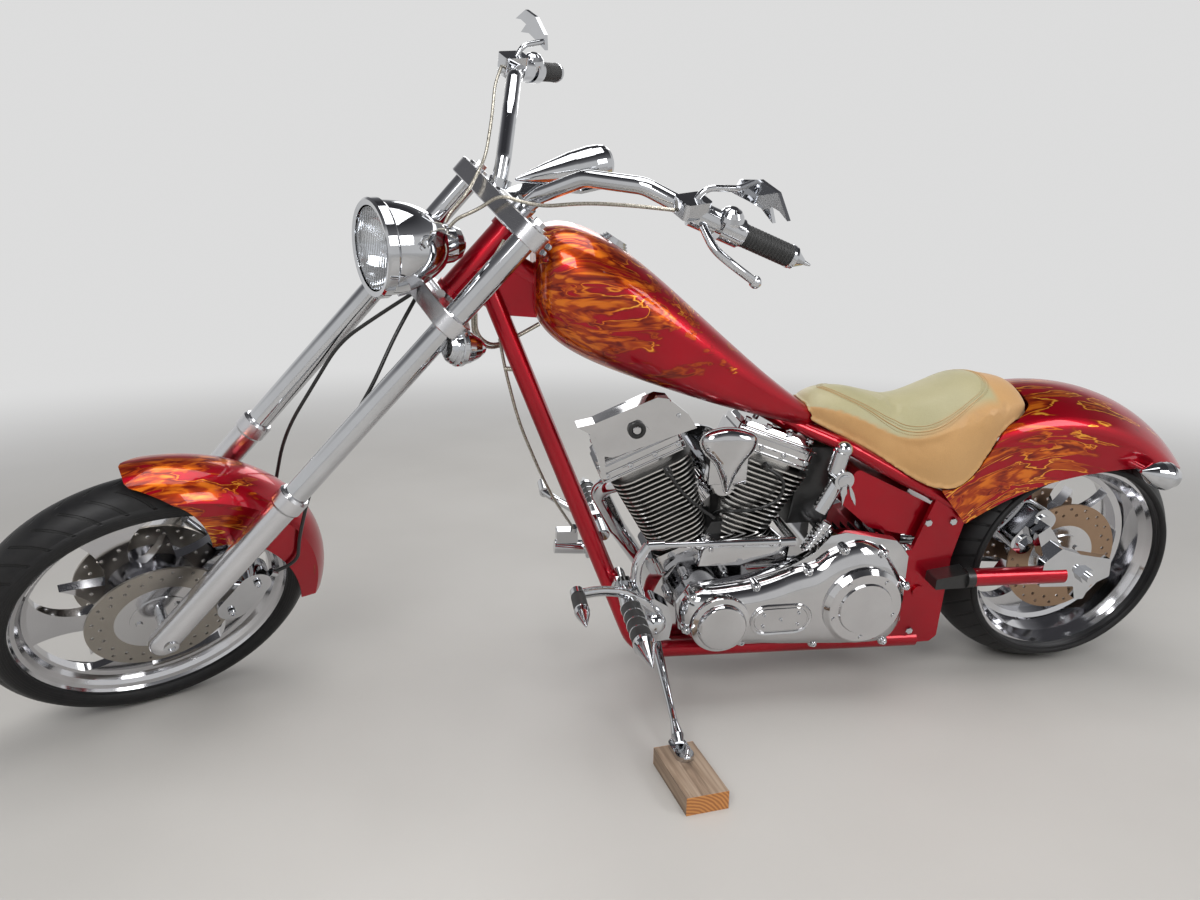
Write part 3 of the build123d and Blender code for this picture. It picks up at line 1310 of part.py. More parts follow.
# Origin on the floor under the middle of the box
os.makedirs("parts", exist_ok=True)
boxes = [part.moved(place).bounding_box() for part, label, place in placed]
middle_x = (min(box.min.X for box in boxes) + max(box.max.X for box in boxes)) / 2
middle_y = (min(box.min.Y for box in boxes) + max(box.max.Y for box in boxes)) / 2
lowest = min(box.min.Z for box in boxes)
ORIGIN = Pos(-middle_x, -middle_y, -lowest)
for part, label, place in placed:
    standing = part.moved(ORIGIN * place)
    standing.label = label
    export_step(standing, f"parts/{label}.step")

# Reference points and directions in the finished part's frame, for its record
for name, place, at, towards in (
    ("steering", PARKED, STEM.from_local_coords((0, 0, 1020)), STEM.z_dir),
    ("rear_axle", PARKED, REAR_AXIS.origin, Vector(0, 1, 0)),
    ("front_axle", STEERED, FORK.origin, Vector(0, 1, 0)),
    ("side_stand", PARKED, STAND_EYE, STAND_AXIS),
    ("axle_left_end", PARKED, REAR_AXIS.from_local_coords((0, 0, ARM_Y + 33)), Vector(0, 1, 0)),
    ("axle_right_end", PARKED, REAR_AXIS.from_local_coords((0, 0, -RIGHT_ARM_Y - 33)), Vector(0, -1, 0)),
):
    here = (ORIGIN * place * Pos(*at)).position
    there = (ORIGIN * place * Pos(*(at + towards * 1000))).position
    print("reference", name, *[round(v, 4) for v in here], *[round(v / 1000, 6) for v in there - here])
print("stand folds by", round(STAND_FOLD, 2))
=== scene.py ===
import json
import math

import bmesh
import bpy
from mathutils import Matrix, Vector
from mathutils.bvhtree import BVHTree


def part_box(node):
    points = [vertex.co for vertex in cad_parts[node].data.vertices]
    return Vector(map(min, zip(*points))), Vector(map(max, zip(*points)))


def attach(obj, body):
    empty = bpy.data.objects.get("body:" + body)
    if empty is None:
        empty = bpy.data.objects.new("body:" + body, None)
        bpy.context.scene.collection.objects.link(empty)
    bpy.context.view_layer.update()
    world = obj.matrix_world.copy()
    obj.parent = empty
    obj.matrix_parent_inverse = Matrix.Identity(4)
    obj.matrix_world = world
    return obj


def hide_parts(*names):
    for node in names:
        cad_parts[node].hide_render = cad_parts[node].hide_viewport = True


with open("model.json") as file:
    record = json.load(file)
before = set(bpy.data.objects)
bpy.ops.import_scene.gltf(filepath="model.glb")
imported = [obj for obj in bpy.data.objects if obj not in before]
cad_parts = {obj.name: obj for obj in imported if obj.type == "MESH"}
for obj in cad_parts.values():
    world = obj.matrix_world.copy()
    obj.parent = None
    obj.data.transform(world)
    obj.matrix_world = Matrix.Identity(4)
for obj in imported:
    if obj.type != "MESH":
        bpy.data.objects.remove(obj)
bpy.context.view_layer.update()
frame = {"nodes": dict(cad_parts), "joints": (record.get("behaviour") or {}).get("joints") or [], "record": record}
nodes = frame["nodes"]
joints = {j["name"]: j for j in frame["joints"]}
scene = bpy.context.scene

# The upright motorcycle's own axes, found from the joints: X forward, Y left, Z up, in
# millimetres from the rear tyre's foot, as the CAD source draws it. "fork" is the same
# for the fork's pieces, turned to the left stop.
RAKE = math.radians(42.5)
STEER = Vector(joints["steering"]["axis"]).normalized()
REAR_HUB = (8, 328.5)
FRONT_HUB = (2196, 350.7)
REAR_FENDER_CENTRE = (134, 236)


def upright(joint, x, z):
    """The 4x4 of the drawing frame whose point (x, 0, z) is the joint's place."""
    axle = Vector(joints[joint]["pos_m"])
    left = Vector(joints[joint]["axis"]).normalized()
    up = Matrix.Rotation(RAKE, 3, left) @ STEER
    fore = left.cross(up)
    turn = Matrix((fore, left, up)).transposed()
    return Matrix.Translation(axle - turn @ Vector((x / 1000, 0, z / 1000))) @ turn.to_4x4()


DRAWN = {
    "bike": upright("rear_wheel_spin", *REAR_HUB),
    "fork": upright("front_wheel_spin", *FRONT_HUB),
}


def reference(name, body, matrix):
    """An empty that carries a material's coordinates along with a body."""
    empty = bpy.data.objects.new(name, None)
    scene.collection.objects.link(empty)
    empty.matrix_world = matrix
    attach(empty, body)
    return empty


def at_point(drawing, x, z):
    """The frame whose origin is the point (x, 0, z) of a drawing frame."""
    return DRAWN[drawing] @ Matrix.Translation((x / 1000, 0, z / 1000))


REF = {
    name: reference("ref_" + name, body, place)
    for name, body, place in (
        ("bike", "frame", DRAWN["bike"]),
        ("fork", "fork", DRAWN["fork"]),
        ("rear_wheel", "rear_wheel", at_point("bike", *REAR_HUB)),
        ("front_wheel", "front_wheel", at_point("fork", *FRONT_HUB)),
        ("front_fender", "fork", at_point("fork", *FRONT_HUB)),
        ("rear_fender", "frame", at_point("bike", *REAR_FENDER_CENTRE)),
        ("stand", "side_stand", DRAWN["bike"]),
    )
}

CRANK = (0.948, 0, 0.266)  # the crankshaft's middle, in metres
BORE_TILT = {"front": 24, "rear": -21}


def bore(tilt):
    """The frame along a cylinder's bore, from the crankshaft."""
    lean = math.radians(tilt)
    fore = Vector((math.cos(lean), 0, -math.sin(lean)))
    along = Vector((math.sin(lean), 0, math.cos(lean)))
    turn = Matrix((fore, Vector((0, 1, 0)), along)).transposed().to_4x4()
    return Matrix.Translation(CRANK) @ turn


BORE = {end: bore(tilt) for end, tilt in BORE_TILT.items()}
for end in BORE:
    REF["bore_" + end] = reference("ref_bore_" + end, "frame", DRAWN["bike"] @ BORE[end])


def on_bore(end, x, y, along):
    """A point given along a bore, in drawing millimetres."""
    return (BORE[end] @ Vector((x / 1000, y / 1000, along / 1000))) * 1000


def on_fork(x, y, w):
    """A point given across, left and along the fork, in drawing millimetres."""
    return Vector((
        FRONT_HUB[0] + x * math.cos(RAKE) - w * math.sin(RAKE),
        y,
        FRONT_HUB[1] + x * math.sin(RAKE) + w * math.cos(RAKE),
    ))


def scaled(colour, share):
    """A colour with each of its values times share."""
    return tuple(v * share for v in colour)


# Materials, each a small network of nodes
class Shade:
    """A material whose nodes are made by short calls."""

    def __init__(self, name, ref):
        self.mat = bpy.data.materials.new(name)
        self.mat.use_nodes = True
        self.tree = self.mat.node_tree
        self.bsdf = self.tree.nodes["Principled BSDF"]
        coordinates = self.node("TexCoord")
        if ref:
            coordinates.object = REF[ref]
        self.place = coordinates.outputs["Object"]

    def node(self, kind, **settings):
        made = self.tree.nodes.new("ShaderNode" + kind)
        for key, value in settings.items():
            setattr(made, key, value)
        return made

    def plug(self, socket, value):
        if isinstance(value, bpy.types.NodeSocket):
            self.tree.links.new(value, socket)
        else:
            socket.default_value = value

    def set(self, **values):
        """Sets the shader's sockets, named as in Blender but in small letters."""
        for key, value in values.items():
            title = key.replace("_", " ").title().replace("Ior", "IOR")
            self.plug(self.bsdf.inputs[title], value)

    def math(self, operation, a, b=0.0, c=0.0):
        made = self.node("Math", operation=operation)
        for socket, value in zip(made.inputs, (a, b, c)):
            self.plug(socket, value)
        return made.outputs[0]

    def within(self, value, low, high):
        """0 below low, 1 above high, smooth between."""
        made = self.node("MapRange", interpolation_type="SMOOTHSTEP")
        self.plug(made.inputs["Value"], value)
        self.plug(made.inputs["From Min"], low)
        self.plug(made.inputs["From Max"], high)
        return made.outputs["Result"]

    def mapped(self, scale=(1, 1, 1), turn=(0, 0, 0), move=(0, 0, 0)):
        """The place scaled, turned by degrees and moved."""
        made = self.node("Mapping")
        self.plug(made.inputs["Vector"], self.place)
        made.inputs["Scale"].default_value = scale
        made.inputs["Rotation"].default_value = [math.radians(v) for v in turn]
        made.inputs["Location"].default_value = move
        return made.outputs["Vector"]

    def axes(self, place=None):
        made = self.node("SeparateXYZ")
        self.plug(made.inputs[0], place or self.place)
        return made.outputs

    def joined(self, x, y=0.0, z=0.0):
        """Coordinates made from three values."""
        made = self.node("CombineXYZ")
        for socket, value in zip(made.inputs, (x, y, z)):
            self.plug(socket, value)
        return made.outputs[0]

    def from_axle(self):
        """How far a point lies from the Y axis, a wheel's axle."""
        x, y, z = self.axes()
        squares = self.math("ADD", self.math("MULTIPLY", x, x), self.math("MULTIPLY", z, z))
        return self.math("SQRT", squares)

    def noise(self, scale, detail=2.0, rough=0.5, warp=0.0, place=None):
        made = self.node("TexNoise")
        self.plug(made.inputs["Vector"], place or self.place)
        made.inputs["Scale"].default_value = scale
        made.inputs["Detail"].default_value = detail
        made.inputs["Roughness"].default_value = rough
        made.inputs["Distortion"].default_value = warp
        return made.outputs["Fac"]

    def cells(self, scale, feature="F1", place=None, out="Distance"):
        made = self.node("TexVoronoi", feature=feature)
        self.plug(made.inputs["Vector"], place or self.place)
        made.inputs["Scale"].default_value = scale
        return made.outputs[out]

    def ramp(self, value, *stops):
        made = self.node("ValToRGB")
        self.plug(made.inputs["Fac"], value)
        while len(made.color_ramp.elements) < len(stops):
            made.color_ramp.elements.new(0.5)
        for element, (at, colour) in zip(made.color_ramp.elements, stops):
            element.position = at
            element.color = (*colour, 1)
        return made.outputs["Color"]

    def blend(self, factor, a, b):
        """Colour a where the factor is 0, colour b where it is 1."""
        made = self.node("Mix", data_type="RGBA")
        self.plug(made.inputs["Factor"], factor)
        for socket, value in ((made.inputs[6], a), (made.inputs[7], b)):
            self.plug(socket, (*value, 1) if isinstance(value, tuple) else value)
        return made.outputs[2]

    def bump(self, height, strength, depth_m):
        """Lays the height on the surface and returns the finished material."""
        made = self.node("Bump")
        self.plug(made.inputs["Height"], height)
        made.inputs["Strength"].default_value = strength
        made.inputs["Distance"].default_value = depth_m
        self.plug(self.bsdf.inputs["Normal"], made.outputs["Normal"])
        return self.mat

    def span(self, value, low, high):
        """value, from 0 to 1, spread from low to high."""
        made = self.node("MapRange")
        self.plug(made.inputs["Value"], value)
        made.inputs["To Min"].default_value = low
        made.inputs["To Max"].default_value = high
        return made.outputs["Result"]


def chrome(name, ref, tint=(0.60, 0.61, 0.63), low=0.02, high=0.07, wave=0.10):
    """Bright plating: its reflections waver a little, as on cast and pressed covers."""
    made = Shade(name, ref)
    haze = made.noise(14, 4, 0.6)
    colour = made.ramp(haze, (0.3, tint), (0.75, scaled(tint, 0.9)))
    made.set(base_color=colour, metallic=1.0, roughness=made.span(haze, low, high))
    return made.bump(made.noise(11, 2, 0.4), wave, 0.006)


def brushed(name, tint, ref, rough, ring=False, carrier=None):
    """Machined metal: turning lines round an axle, or a faint grain; bright inside the carrier."""
    made = Shade(name, ref)
    if ring:
        grain = made.noise(900, 3, 0.7, place=made.joined(made.from_axle()))
    else:
        grain = made.noise(260, 3, 0.7, place=made.mapped((1, 1, 6)))
    cloud = made.noise(9, 3)
    colour = made.blend(
        0.5,
        made.ramp(grain, (0.3, tint), (0.7, scaled(tint, 0.82))),
        made.ramp(cloud, (0.35, tint), (0.7, scaled(tint, 0.88))),
    )
    dull = made.span(grain, rough * 0.7, rough * 1.4)
    if carrier:
        middle = made.within(made.from_axle(), carrier, carrier - 0.001)
        colour = made.blend(middle, colour, (0.62, 0.62, 0.63))
        dull = made.math("MULTIPLY", dull, made.span(middle, 1.0, 0.35))
    made.set(base_color=colour, metallic=1.0, roughness=dull)
    return made.bump(grain, 0.08, 0.0002)


def candy(name, ref, flames=None):
    """Candy red under clear coat; flames returns the fire's cover and heat, each 0 to 1."""
    made = Shade(name, ref)
    flake = made.cells(1400, out="Color")
    depth = made.noise(5, 2)
    red = made.ramp(depth, (0.3, (0.42, 0.0015, 0.013)), (0.75, (0.27, 0.001, 0.008)))
    red = made.blend(made.span(made.cells(1100), 0.0, 0.18), red, (0.60, 0.006, 0.022))
    if flames:
        cover, heat = flames(made)
        fire = made.ramp(
            heat,
            (0.0, (0.14, 0.005, 0.003)),
            (0.3, (0.40, 0.042, 0.004)),
            (0.6, (0.74, 0.17, 0.010)),
            (0.95, (0.92, 0.45, 0.05)),
        )
        red = made.blend(cover, red, fire)
    made.set(
        base_color=red, metallic=0.75, roughness=0.32, specular_ior_level=0.1,
        coat_weight=0.6, coat_roughness=0.02,
    )
    return made.bump(flake, 0.02, 0.0001)


def licks(made, stretched, strength):
    """Airbrushed fire in coordinates whose X runs along the flames: (cover, heat)."""
    bend = made.node("TexNoise")
    made.plug(bend.inputs["Vector"], stretched)
    bend.inputs["Scale"].default_value = 0.55
    bend.inputs["Detail"].default_value = 1.5
    offset = made.node("VectorMath", operation="MULTIPLY_ADD")
    made.plug(offset.inputs[0], bend.outputs["Color"])
    offset.inputs[1].default_value = (1.6, 1.2, 1.2)
    made.plug(offset.inputs[2], stretched)
    curled = offset.outputs[0]
    wide = made.noise(1.7, 2.5, 0.5, 0.7, place=curled)
    fine = made.noise(4.6, 2.0, 0.5, 0.4, place=curled)
    field = made.math("MULTIPLY_ADD", made.math("SUBTRACT", fine, 0.5), 0.22, wide)
    inside = made.math("SUBTRACT", field, made.span(strength, 0.74, 0.42))
    bright = made.within(made.noise(0.9, 1.0, place=curled), 0.44, 0.60)
    outline = made.within(made.math("ABSOLUTE", made.math("SUBTRACT", inside, 0.012)), 0.038, 0.0)
    outline = made.math("MULTIPLY", outline, made.span(bright, 0.35, 1.0))
    body = made.math("MULTIPLY", made.within(fine, 0.42, 0.62), 0.32)
    body = made.math("ADD", body, made.math("MULTIPLY", made.within(inside, 0.02, 0.20), 0.30))
    heat = made.math("MAXIMUM", outline, body)
    heat = made.math("MULTIPLY", heat, made.within(inside, -0.05, 0.005))
    return made.within(inside, -0.06, 0.02), heat


def tank_flames(made):
    """Flames that run back along the tank, strongest at the steering head."""
    x, y, z = made.axes()
    edge = made.noise(14, 3, place=made.mapped((0.35, 1, 1), (0, 16, 0)))
    forward = made.math("ADD", x, made.math("MULTIPLY", made.math("SUBTRACT", z, 0.9), 0.45))
    reach = made.math("ADD", forward, made.math("MULTIPLY", edge, 0.30))
    along = made.mapped((4.0, 18, 18), (0, 14, 0))
    return licks(made, along, made.within(reach, 0.90, 1.45))


def arch_flames(low, high):
    """Flames that run round a fender, from nothing at the angle low to full at high."""
    def flames(made):
        x, y, z = made.axes()
        angle = made.math("ARCTAN2", x, z)
        rolled = made.joined(
            made.math("MULTIPLY", angle, 1.7),
            made.math("MULTIPLY", y, 17.0),
            made.math("MULTIPLY", made.from_axle(), 20.0),
        )
        edge = made.math("MULTIPLY", made.noise(1.1, 3, place=rolled), 0.5)
        reach = made.math("ADD", angle, edge)
        return licks(made, rolled, made.within(reach, low, high))
    return flames


def fins(end):
    """Cast cylinder fins: dark on their flats, machined bright on their edges."""
    made = Shade("fins_" + end, "bore_" + end)
    along = made.node("VectorMath", operation="DOT_PRODUCT")
    made.plug(along.inputs[0], made.node("NewGeometry").outputs["Normal"])
    along.inputs[1].default_value = (DRAWN["bike"] @ BORE[end]).to_3x3().col[2]
    edge = made.within(made.math("ABSOLUTE", along.outputs["Value"]), 0.5, 0.2)
    cast = made.noise(220, 4, 0.6)
    dark = made.ramp(cast, (0.3, (0.035, 0.034, 0.033)), (0.75, (0.09, 0.087, 0.083)))
    bright = made.ramp(made.noise(40, 2), (0.3, (0.66, 0.65, 0.63)), (0.8, (0.5, 0.49, 0.47)))
    rough = made.math("SUBTRACT", 0.5, made.math("MULTIPLY", edge, 0.26))
    made.set(base_color=made.blend(edge, dark, bright), metallic=0.85, roughness=rough)
    return made.bump(cast, 0.25, 0.0004)


GROOVES = 40  # round each half of a tyre's tread


def tyre(name, ref, half_width, tread_from):
    """Tyre rubber: curved tread grooves on the crown, painted shade in them; fine sidewall rings."""
    made = Shade(name, ref)
    x, y, z = made.axes()
    radius = made.from_axle()
    turns = made.math("MULTIPLY", made.math("ARCTAN2", z, x), GROOVES / (2 * math.pi))
    side = made.math("DIVIDE", made.math("ABSOLUTE", y), half_width)
    sweep = made.math("ADD", turns, made.math("MULTIPLY", side, -1.5))
    saw = made.math("ABSOLUTE", made.math("SUBTRACT", made.math("FRACT", sweep), 0.5))
    groove = made.math("MULTIPLY", made.within(saw, 0.085, 0.055), made.within(side, 0.12, 0.2))
    groove = made.math("MULTIPLY", groove, made.within(side, 0.93, 0.86))
    groove = made.math("MULTIPLY", groove, made.within(radius, tread_from - 0.004, tread_from))
    ring = made.math("ABSOLUTE", made.math("SINE", made.math("MULTIPLY", radius, 700.0)))
    on_wall = made.within(radius, tread_from - 0.002, tread_from - 0.008)
    ring = made.math("MULTIPLY", made.within(ring, 0.25, 0.1), on_wall)
    dust = made.noise(30, 5, 0.65)
    colour = made.ramp(dust, (0.3, (0.006, 0.006, 0.007)), (0.8, (0.015, 0.0145, 0.0145)))
    # The grooves' near-black colour is painted shade in the tread's recesses.
    colour = made.blend(groove, colour, (0.004, 0.004, 0.004))
    made.set(base_color=colour, roughness=made.span(dust, 0.40, 0.58), specular_ior_level=0.3)
    sunk = made.math("ADD", groove, made.math("MULTIPLY", ring, 0.2))
    height = made.math("SUBTRACT", made.math("MULTIPLY", made.noise(400, 2), 0.05), sunk)
    return made.bump(height, 0.9, 0.004)


def leather():
    """Tan leather: greener and paler on top, warmer down the sides."""
    made = Shade("seat_leather", "bike")
    x, y, z = made.axes()
    up = made.axes(made.node("NewGeometry").outputs["Normal"])[2]
    grain = made.cells(430, "SMOOTH_F1")
    pores = made.noise(900, 3)
    worn = made.noise(7, 4, 0.6)
    top = made.ramp(worn, (0.3, (0.41, 0.375, 0.215)), (0.75, (0.33, 0.31, 0.17)))
    flank = made.ramp(worn, (0.3, (0.55, 0.315, 0.125)), (0.75, (0.46, 0.25, 0.09)))
    aside = made.within(made.math("ABSOLUTE", y), 0.125, 0.095)
    inward = made.math("MULTIPLY", aside, made.within(x, 0.282, 0.305))
    on_top = made.math("MULTIPLY", made.within(up, 0.15, 0.40), inward)
    colour = made.blend(on_top, flank, top)
    colour = made.blend(made.span(grain, 0.0, 0.22), colour, (0.26, 0.18, 0.08))
    made.set(base_color=colour, roughness=made.span(pores, 0.38, 0.56), sheen_weight=0.15)
    height = made.math("ADD", grain, made.math("MULTIPLY", pores, 0.3))
    return made.bump(height, 0.35, 0.0006)


BLOCK_TURN = math.radians(97.6)
BLOCK_HALF = 0.0896  # half the wood block's length


def weathered_wood():
    """A weathered block: long grain on its faces, growth rings on its sawn ends."""
    low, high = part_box("wood_block")
    middle = (Vector(low) + Vector(high)) / 2
    place = Matrix.Translation(middle) @ Matrix.Rotation(BLOCK_TURN, 4, "Z")
    REF["block"] = reference("ref_block", "frame", place)
    made = Shade("block_wood", "block")
    x, y, z = made.axes()
    grain = made.noise(90, 4, 0.6, 0.4, place=made.mapped((0.05, 1, 1)))
    rings = made.node("TexWave", wave_type="RINGS", rings_direction="X", wave_profile="SIN")
    made.plug(rings.inputs["Vector"], made.mapped(move=(0, 0.05, 0.07)))
    rings.inputs["Scale"].default_value = 46
    rings.inputs["Distortion"].default_value = 2.5
    rings.inputs["Detail"].default_value = 2
    face = made.ramp(
        grain,
        (0.25, (0.10, 0.065, 0.045)),
        (0.5, (0.27, 0.19, 0.13)),
        (0.78, (0.42, 0.33, 0.25)),
    )
    sawn = made.ramp(rings.outputs["Fac"], (0.2, (0.55, 0.24, 0.07)), (0.8, (0.34, 0.13, 0.04)))
    at_end = made.within(made.math("ABSOLUTE", x), BLOCK_HALF - 0.0008, BLOCK_HALF)
    made.set(base_color=made.blend(at_end, face, sawn), roughness=made.span(grain, 0.6, 0.9))
    height = made.math("ADD", grain, made.math("MULTIPLY", made.noise(30, 3), 0.5))
    return made.bump(height, 0.7, 0.002)


def rubber(name, ref, grey=0.018, rough=0.5):
    """Black rubber, hose or satin paint with a little dust."""
    made = Shade(name, ref)
    dust = made.noise(60, 4, 0.6)
    colour = made.ramp(dust, (0.3, (grey,) * 3), (0.8, (grey * 1.8,) * 3))
    made.set(base_color=colour, roughness=made.span(dust, rough - 0.08, rough + 0.12))
    return made.bump(made.noise(700, 2), 0.2, 0.0003)


def braid(name, ref):
    """Braided steel under a clear sleeve."""
    made = Shade(name, ref)
    strands = made.cells(520, "SMOOTH_F1", place=made.mapped((1, 1, 0.6), (0, 30, 20)))
    made.set(
        base_color=made.ramp(strands, (0.1, (0.62, 0.58, 0.50)), (0.7, (0.20, 0.18, 0.14))),
        metallic=0.9, roughness=made.span(strands, 0.25, 0.5),
        coat_weight=0.6, coat_roughness=0.08,
    )
    return made.bump(strands, 0.4, 0.0006)


def glass(name, ref):
    """Clear lens glass with upright flutes."""
    made = Shade(name, ref)
    tint = (0.96, 0.98, 1.0)
    made.set(
        base_color=made.ramp(made.noise(8), (0.3, tint), (0.7, scaled(tint, 0.97))),
        roughness=0.02, transmission_weight=1.0, ior=1.45,
    )
    across = made.axes()[1]
    return made.bump(made.math("SINE", made.math("MULTIPLY", across, 620.0)), 0.12, 0.0006)


PAINT = {
    "plain": candy("red_paint", "bike"),
    "fuel_tank": candy("tank_flames", "bike", tank_flames),
    "rear_fender": candy("rear_fender_flames", "rear_fender", arch_flames(-1.3, 1.2)),
    "front_fender": candy("front_fender_flames", "front_fender", arch_flames(-1.0, 0.1)),
}
CHROME = {ref: chrome("chrome_" + ref, ref) for ref in ("bike", "fork", "stand")}
ALUMINIUM, RIM_ALUMINIUM = (0.68, 0.68, 0.70), (0.66, 0.66, 0.68)
SHADES = {
    ("polished_aluminium", "bike"): brushed("polished_bike", ALUMINIUM, "bike", 0.15),
    ("polished_aluminium", "fork"): brushed("polished_fork", ALUMINIUM, "fork", 0.22),
    ("polished_aluminium", "front_wheel"): brushed(
        "polished_front_wheel", RIM_ALUMINIUM, "front_wheel", 0.09, ring=True,
    ),
    ("polished_aluminium", "rear_wheel"): brushed(
        "polished_rear_wheel", RIM_ALUMINIUM, "rear_wheel", 0.08, ring=True,
    ),
    ("brake_steel", "front_wheel"): brushed(
        "disc_front", (0.40, 0.37, 0.33), "front_wheel", 0.3, ring=True, carrier=0.092,
    ),
    ("brake_steel", "rear_wheel"): brushed(
        "disc_rear", (0.40, 0.27, 0.18), "rear_wheel", 0.34, ring=True, carrier=0.088,
    ),
    ("tyre_rubber", "front_wheel"): tyre("tyre_front", "front_wheel", 0.059, 0.3115),
    ("tyre_rubber", "rear_wheel"): tyre("tyre_rear", "rear_wheel", 0.122, 0.2655),
    ("grip_rubber", "bike"): rubber("peg_rubber", "bike"),
    ("grip_rubber", "fork"): rubber("grip_rubber", "fork"),
    ("black_steel", "bike"): rubber("black_steel", "bike", 0.012, 0.3),
    ("belt_rubber", "bike"): rubber("belt_rubber", "bike"),
    ("hose_black", "bike"): rubber("lead_black", "bike", 0.010, 0.28),
    ("hose_black", "fork"): rubber("hose_black", "fork", 0.010, 0.3),
    ("cable_steel", "bike"): braid("cable_bike", "bike"),
    ("cable_steel", "fork"): braid("cable_fork", "fork"),
    ("lens_glass", "fork"): glass("lens_glass", "fork"),
    ("seat_leather", "bike"): leather(),
    ("block_wood", "bike"): weathered_wood(),
}
SHADES.update({("chrome", ref): made for ref, made in CHROME.items()})
COVER_CHROME = chrome("cover_chrome", "bike", (0.60, 0.60, 0.61), 0.03, 0.12, 0.22)
BODY_REF = {
    "frame": "bike", "fork": "fork", "side_stand": "stand",
    "front_wheel": "front_wheel", "rear_wheel": "rear_wheel",
}
COVERS = (
    "rocker_box_front", "rocker_box_rear", "coil_cover", "derby_cover", "crankcase", "transmission",
)
SLOT = {part["node"]: part["material_slot"] for part in frame["record"]["subparts"]}
for body, members in frame["record"]["behaviour"]["bodies"].items():
    for name in members:
        node = nodes[name]
        if name in ("cylinder_front", "cylinder_rear"):
            made = fins(name.split("_")[1])
        elif name in COVERS:
            made = COVER_CHROME
        elif SLOT[name] == "red_paint":
            made = PAINT.get(name, PAINT["plain"])
        else:
            made = SHADES[(SLOT[name], BODY_REF[body])]
        node.data.materials.clear()
        node.data.materials.append(made)


# Small pieces are gathered in kits, one object for each kind
class Kit:
    """Shapes in drawing millimetres, gathered in one mesh."""

    def __init__(self):
        self.verts = []
        self.faces = []

    def add(self, verts, faces):
        start = len(self.verts)
        self.verts += [tuple(v) for v in verts]
        self.faces += [[start + i for i in face] for face in faces]

    def lathe(self, start, end, profile, sides, closed=True):
        """Turns (distance, radius) corners about the line from start to end."""
        start, end = Vector(start), Vector(end)
        axis = (end - start).normalized()
        u = axis.orthogonal().normalized()
        w = axis.cross(u)
        verts, faces = [], []
        for along, radius in profile:
            for k in range(sides):
                turn = 2 * math.pi * k / sides
                out = (u * math.cos(turn) + w * math.sin(turn)) * radius
                verts.append(start + axis * along + out)
        for row in range(len(profile) - 1):
            for k in range(sides):
                a, b = row * sides + k, row * sides + (k + 1) % sides
                faces.append([a, b, b + sides, a + sides])
        if closed:
            faces.append(list(range(sides))[::-1])
            faces.append([(len(profile) - 1) * sides + k for k in range(sides)])
        self.add(verts, faces)

    def screw(self, start, end, radius, height):
        """A hexagon head with a turned-down rim, standing at start towards end."""
        rim = radius * 0.14
        self.lathe(start, end, ((0, radius), (height - rim, radius), (height, radius - rim)), 6)

    def socket(self, start, end, radius, height):
        """A round socket head with its hexagon hollow."""
        hollow = radius * 0.52
        profile = (
            (0, radius), (height * 0.85, radius), (height, radius * 0.86),
            (height, hollow), (height * 0.35, hollow),
        )
        self.lathe(start, end, profile, 18)

    def tube(self, points, radius, sides):
        """A round tube along the points."""
        line = [Vector(p) for p in points]
        verts, faces, side = [], [], None
        for k, here in enumerate(line):
            run = (line[min(k + 1, len(line) - 1)] - line[max(k - 1, 0)]).normalized()
            side = side - run * side.dot(run) if side else run.orthogonal()
            side = side.normalized()
            other = run.cross(side)
            for j in range(sides):
                turn = 2 * math.pi * j / sides
                verts.append(here + (side * math.cos(turn) + other * math.sin(turn)) * radius)
        for row in range(len(line) - 1):
            for j in range(sides):
                a, b = row * sides + j, row * sides + (j + 1) % sides
                faces.append([a, b, b + sides, a + sides])
        faces.append(list(range(sides))[::-1])
        faces.append([(len(line) - 1) * sides + j for j in range(sides)])
        self.add(verts, faces)

    def slab(self, outline, low, high, round_by=3):
        """A plate across the bike from y low to y high, its outer edge rounded."""
        middle = sum((Vector(p) for p in outline), Vector((0, 0))) / len(outline)
        rings = []
        start_round, mid_round = high - round_by, high - round_by * 0.3
        for inset, y in ((0, low), (0, start_round), (round_by * 0.3, mid_round), (round_by, high)):
            ring = []
            for point in outline:
                way = (middle - Vector(point)).normalized()
                ring.append((point[0] + way.x * inset, y, point[1] + way.y * inset))
            rings.append(ring)
        self.rings(rings)

    def rings(self, rings, capped=True):
        """Joins closed rings of the same number of points, one after another."""
        count = len(rings[0])
        faces = []
        for row in range(len(rings) - 1):
            for k in range(count):
                a, b = row * count + k, row * count + (k + 1) % count
                faces.append([a, b, b + count, a + count])
        if capped:
            faces.append(list(range(count))[::-1])
            faces.append([(len(rings) - 1) * count + k for k in range(count)])
        self.add([p for ring in rings for p in ring], faces)

    def crowned(self, outline, spine, low, high, power=3.2):
        """A shell from y low to y high, domed like a river stone, highest along its spine."""
        rings, rows = [], 14
        for row in range(rows + 1):
            share = math.cos(math.pi / 2 * row / rows)
            y = low + (high - low) * math.sqrt(max(1 - share ** power, 0))
            ring = []
            for point in outline:
                near = on_line(spine, Vector(point))
                at = near + (Vector(point) - near) * max(share, 0.02)
                ring.append((at.x, y, at.y))
            rings.append(ring)
        self.rings(rings)

    def done(self, name, body, material, slot):
        mesh = bpy.data.meshes.new(name)
        mesh.from_pydata([tuple(c / 1000 for c in v) for v in self.verts], [], self.faces)
        mesh.transform(DRAWN["fork" if body == "fork" else "bike"])
        mesh.validate()
        for polygon in mesh.polygons:
            polygon.use_smooth = True
        mesh.set_sharp_from_angle(angle=math.radians(35))
        mesh.materials.append(material)
        piece = bpy.data.objects.new(name, mesh)
        scene.collection.objects.link(piece)
        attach(piece, body)
        return piece


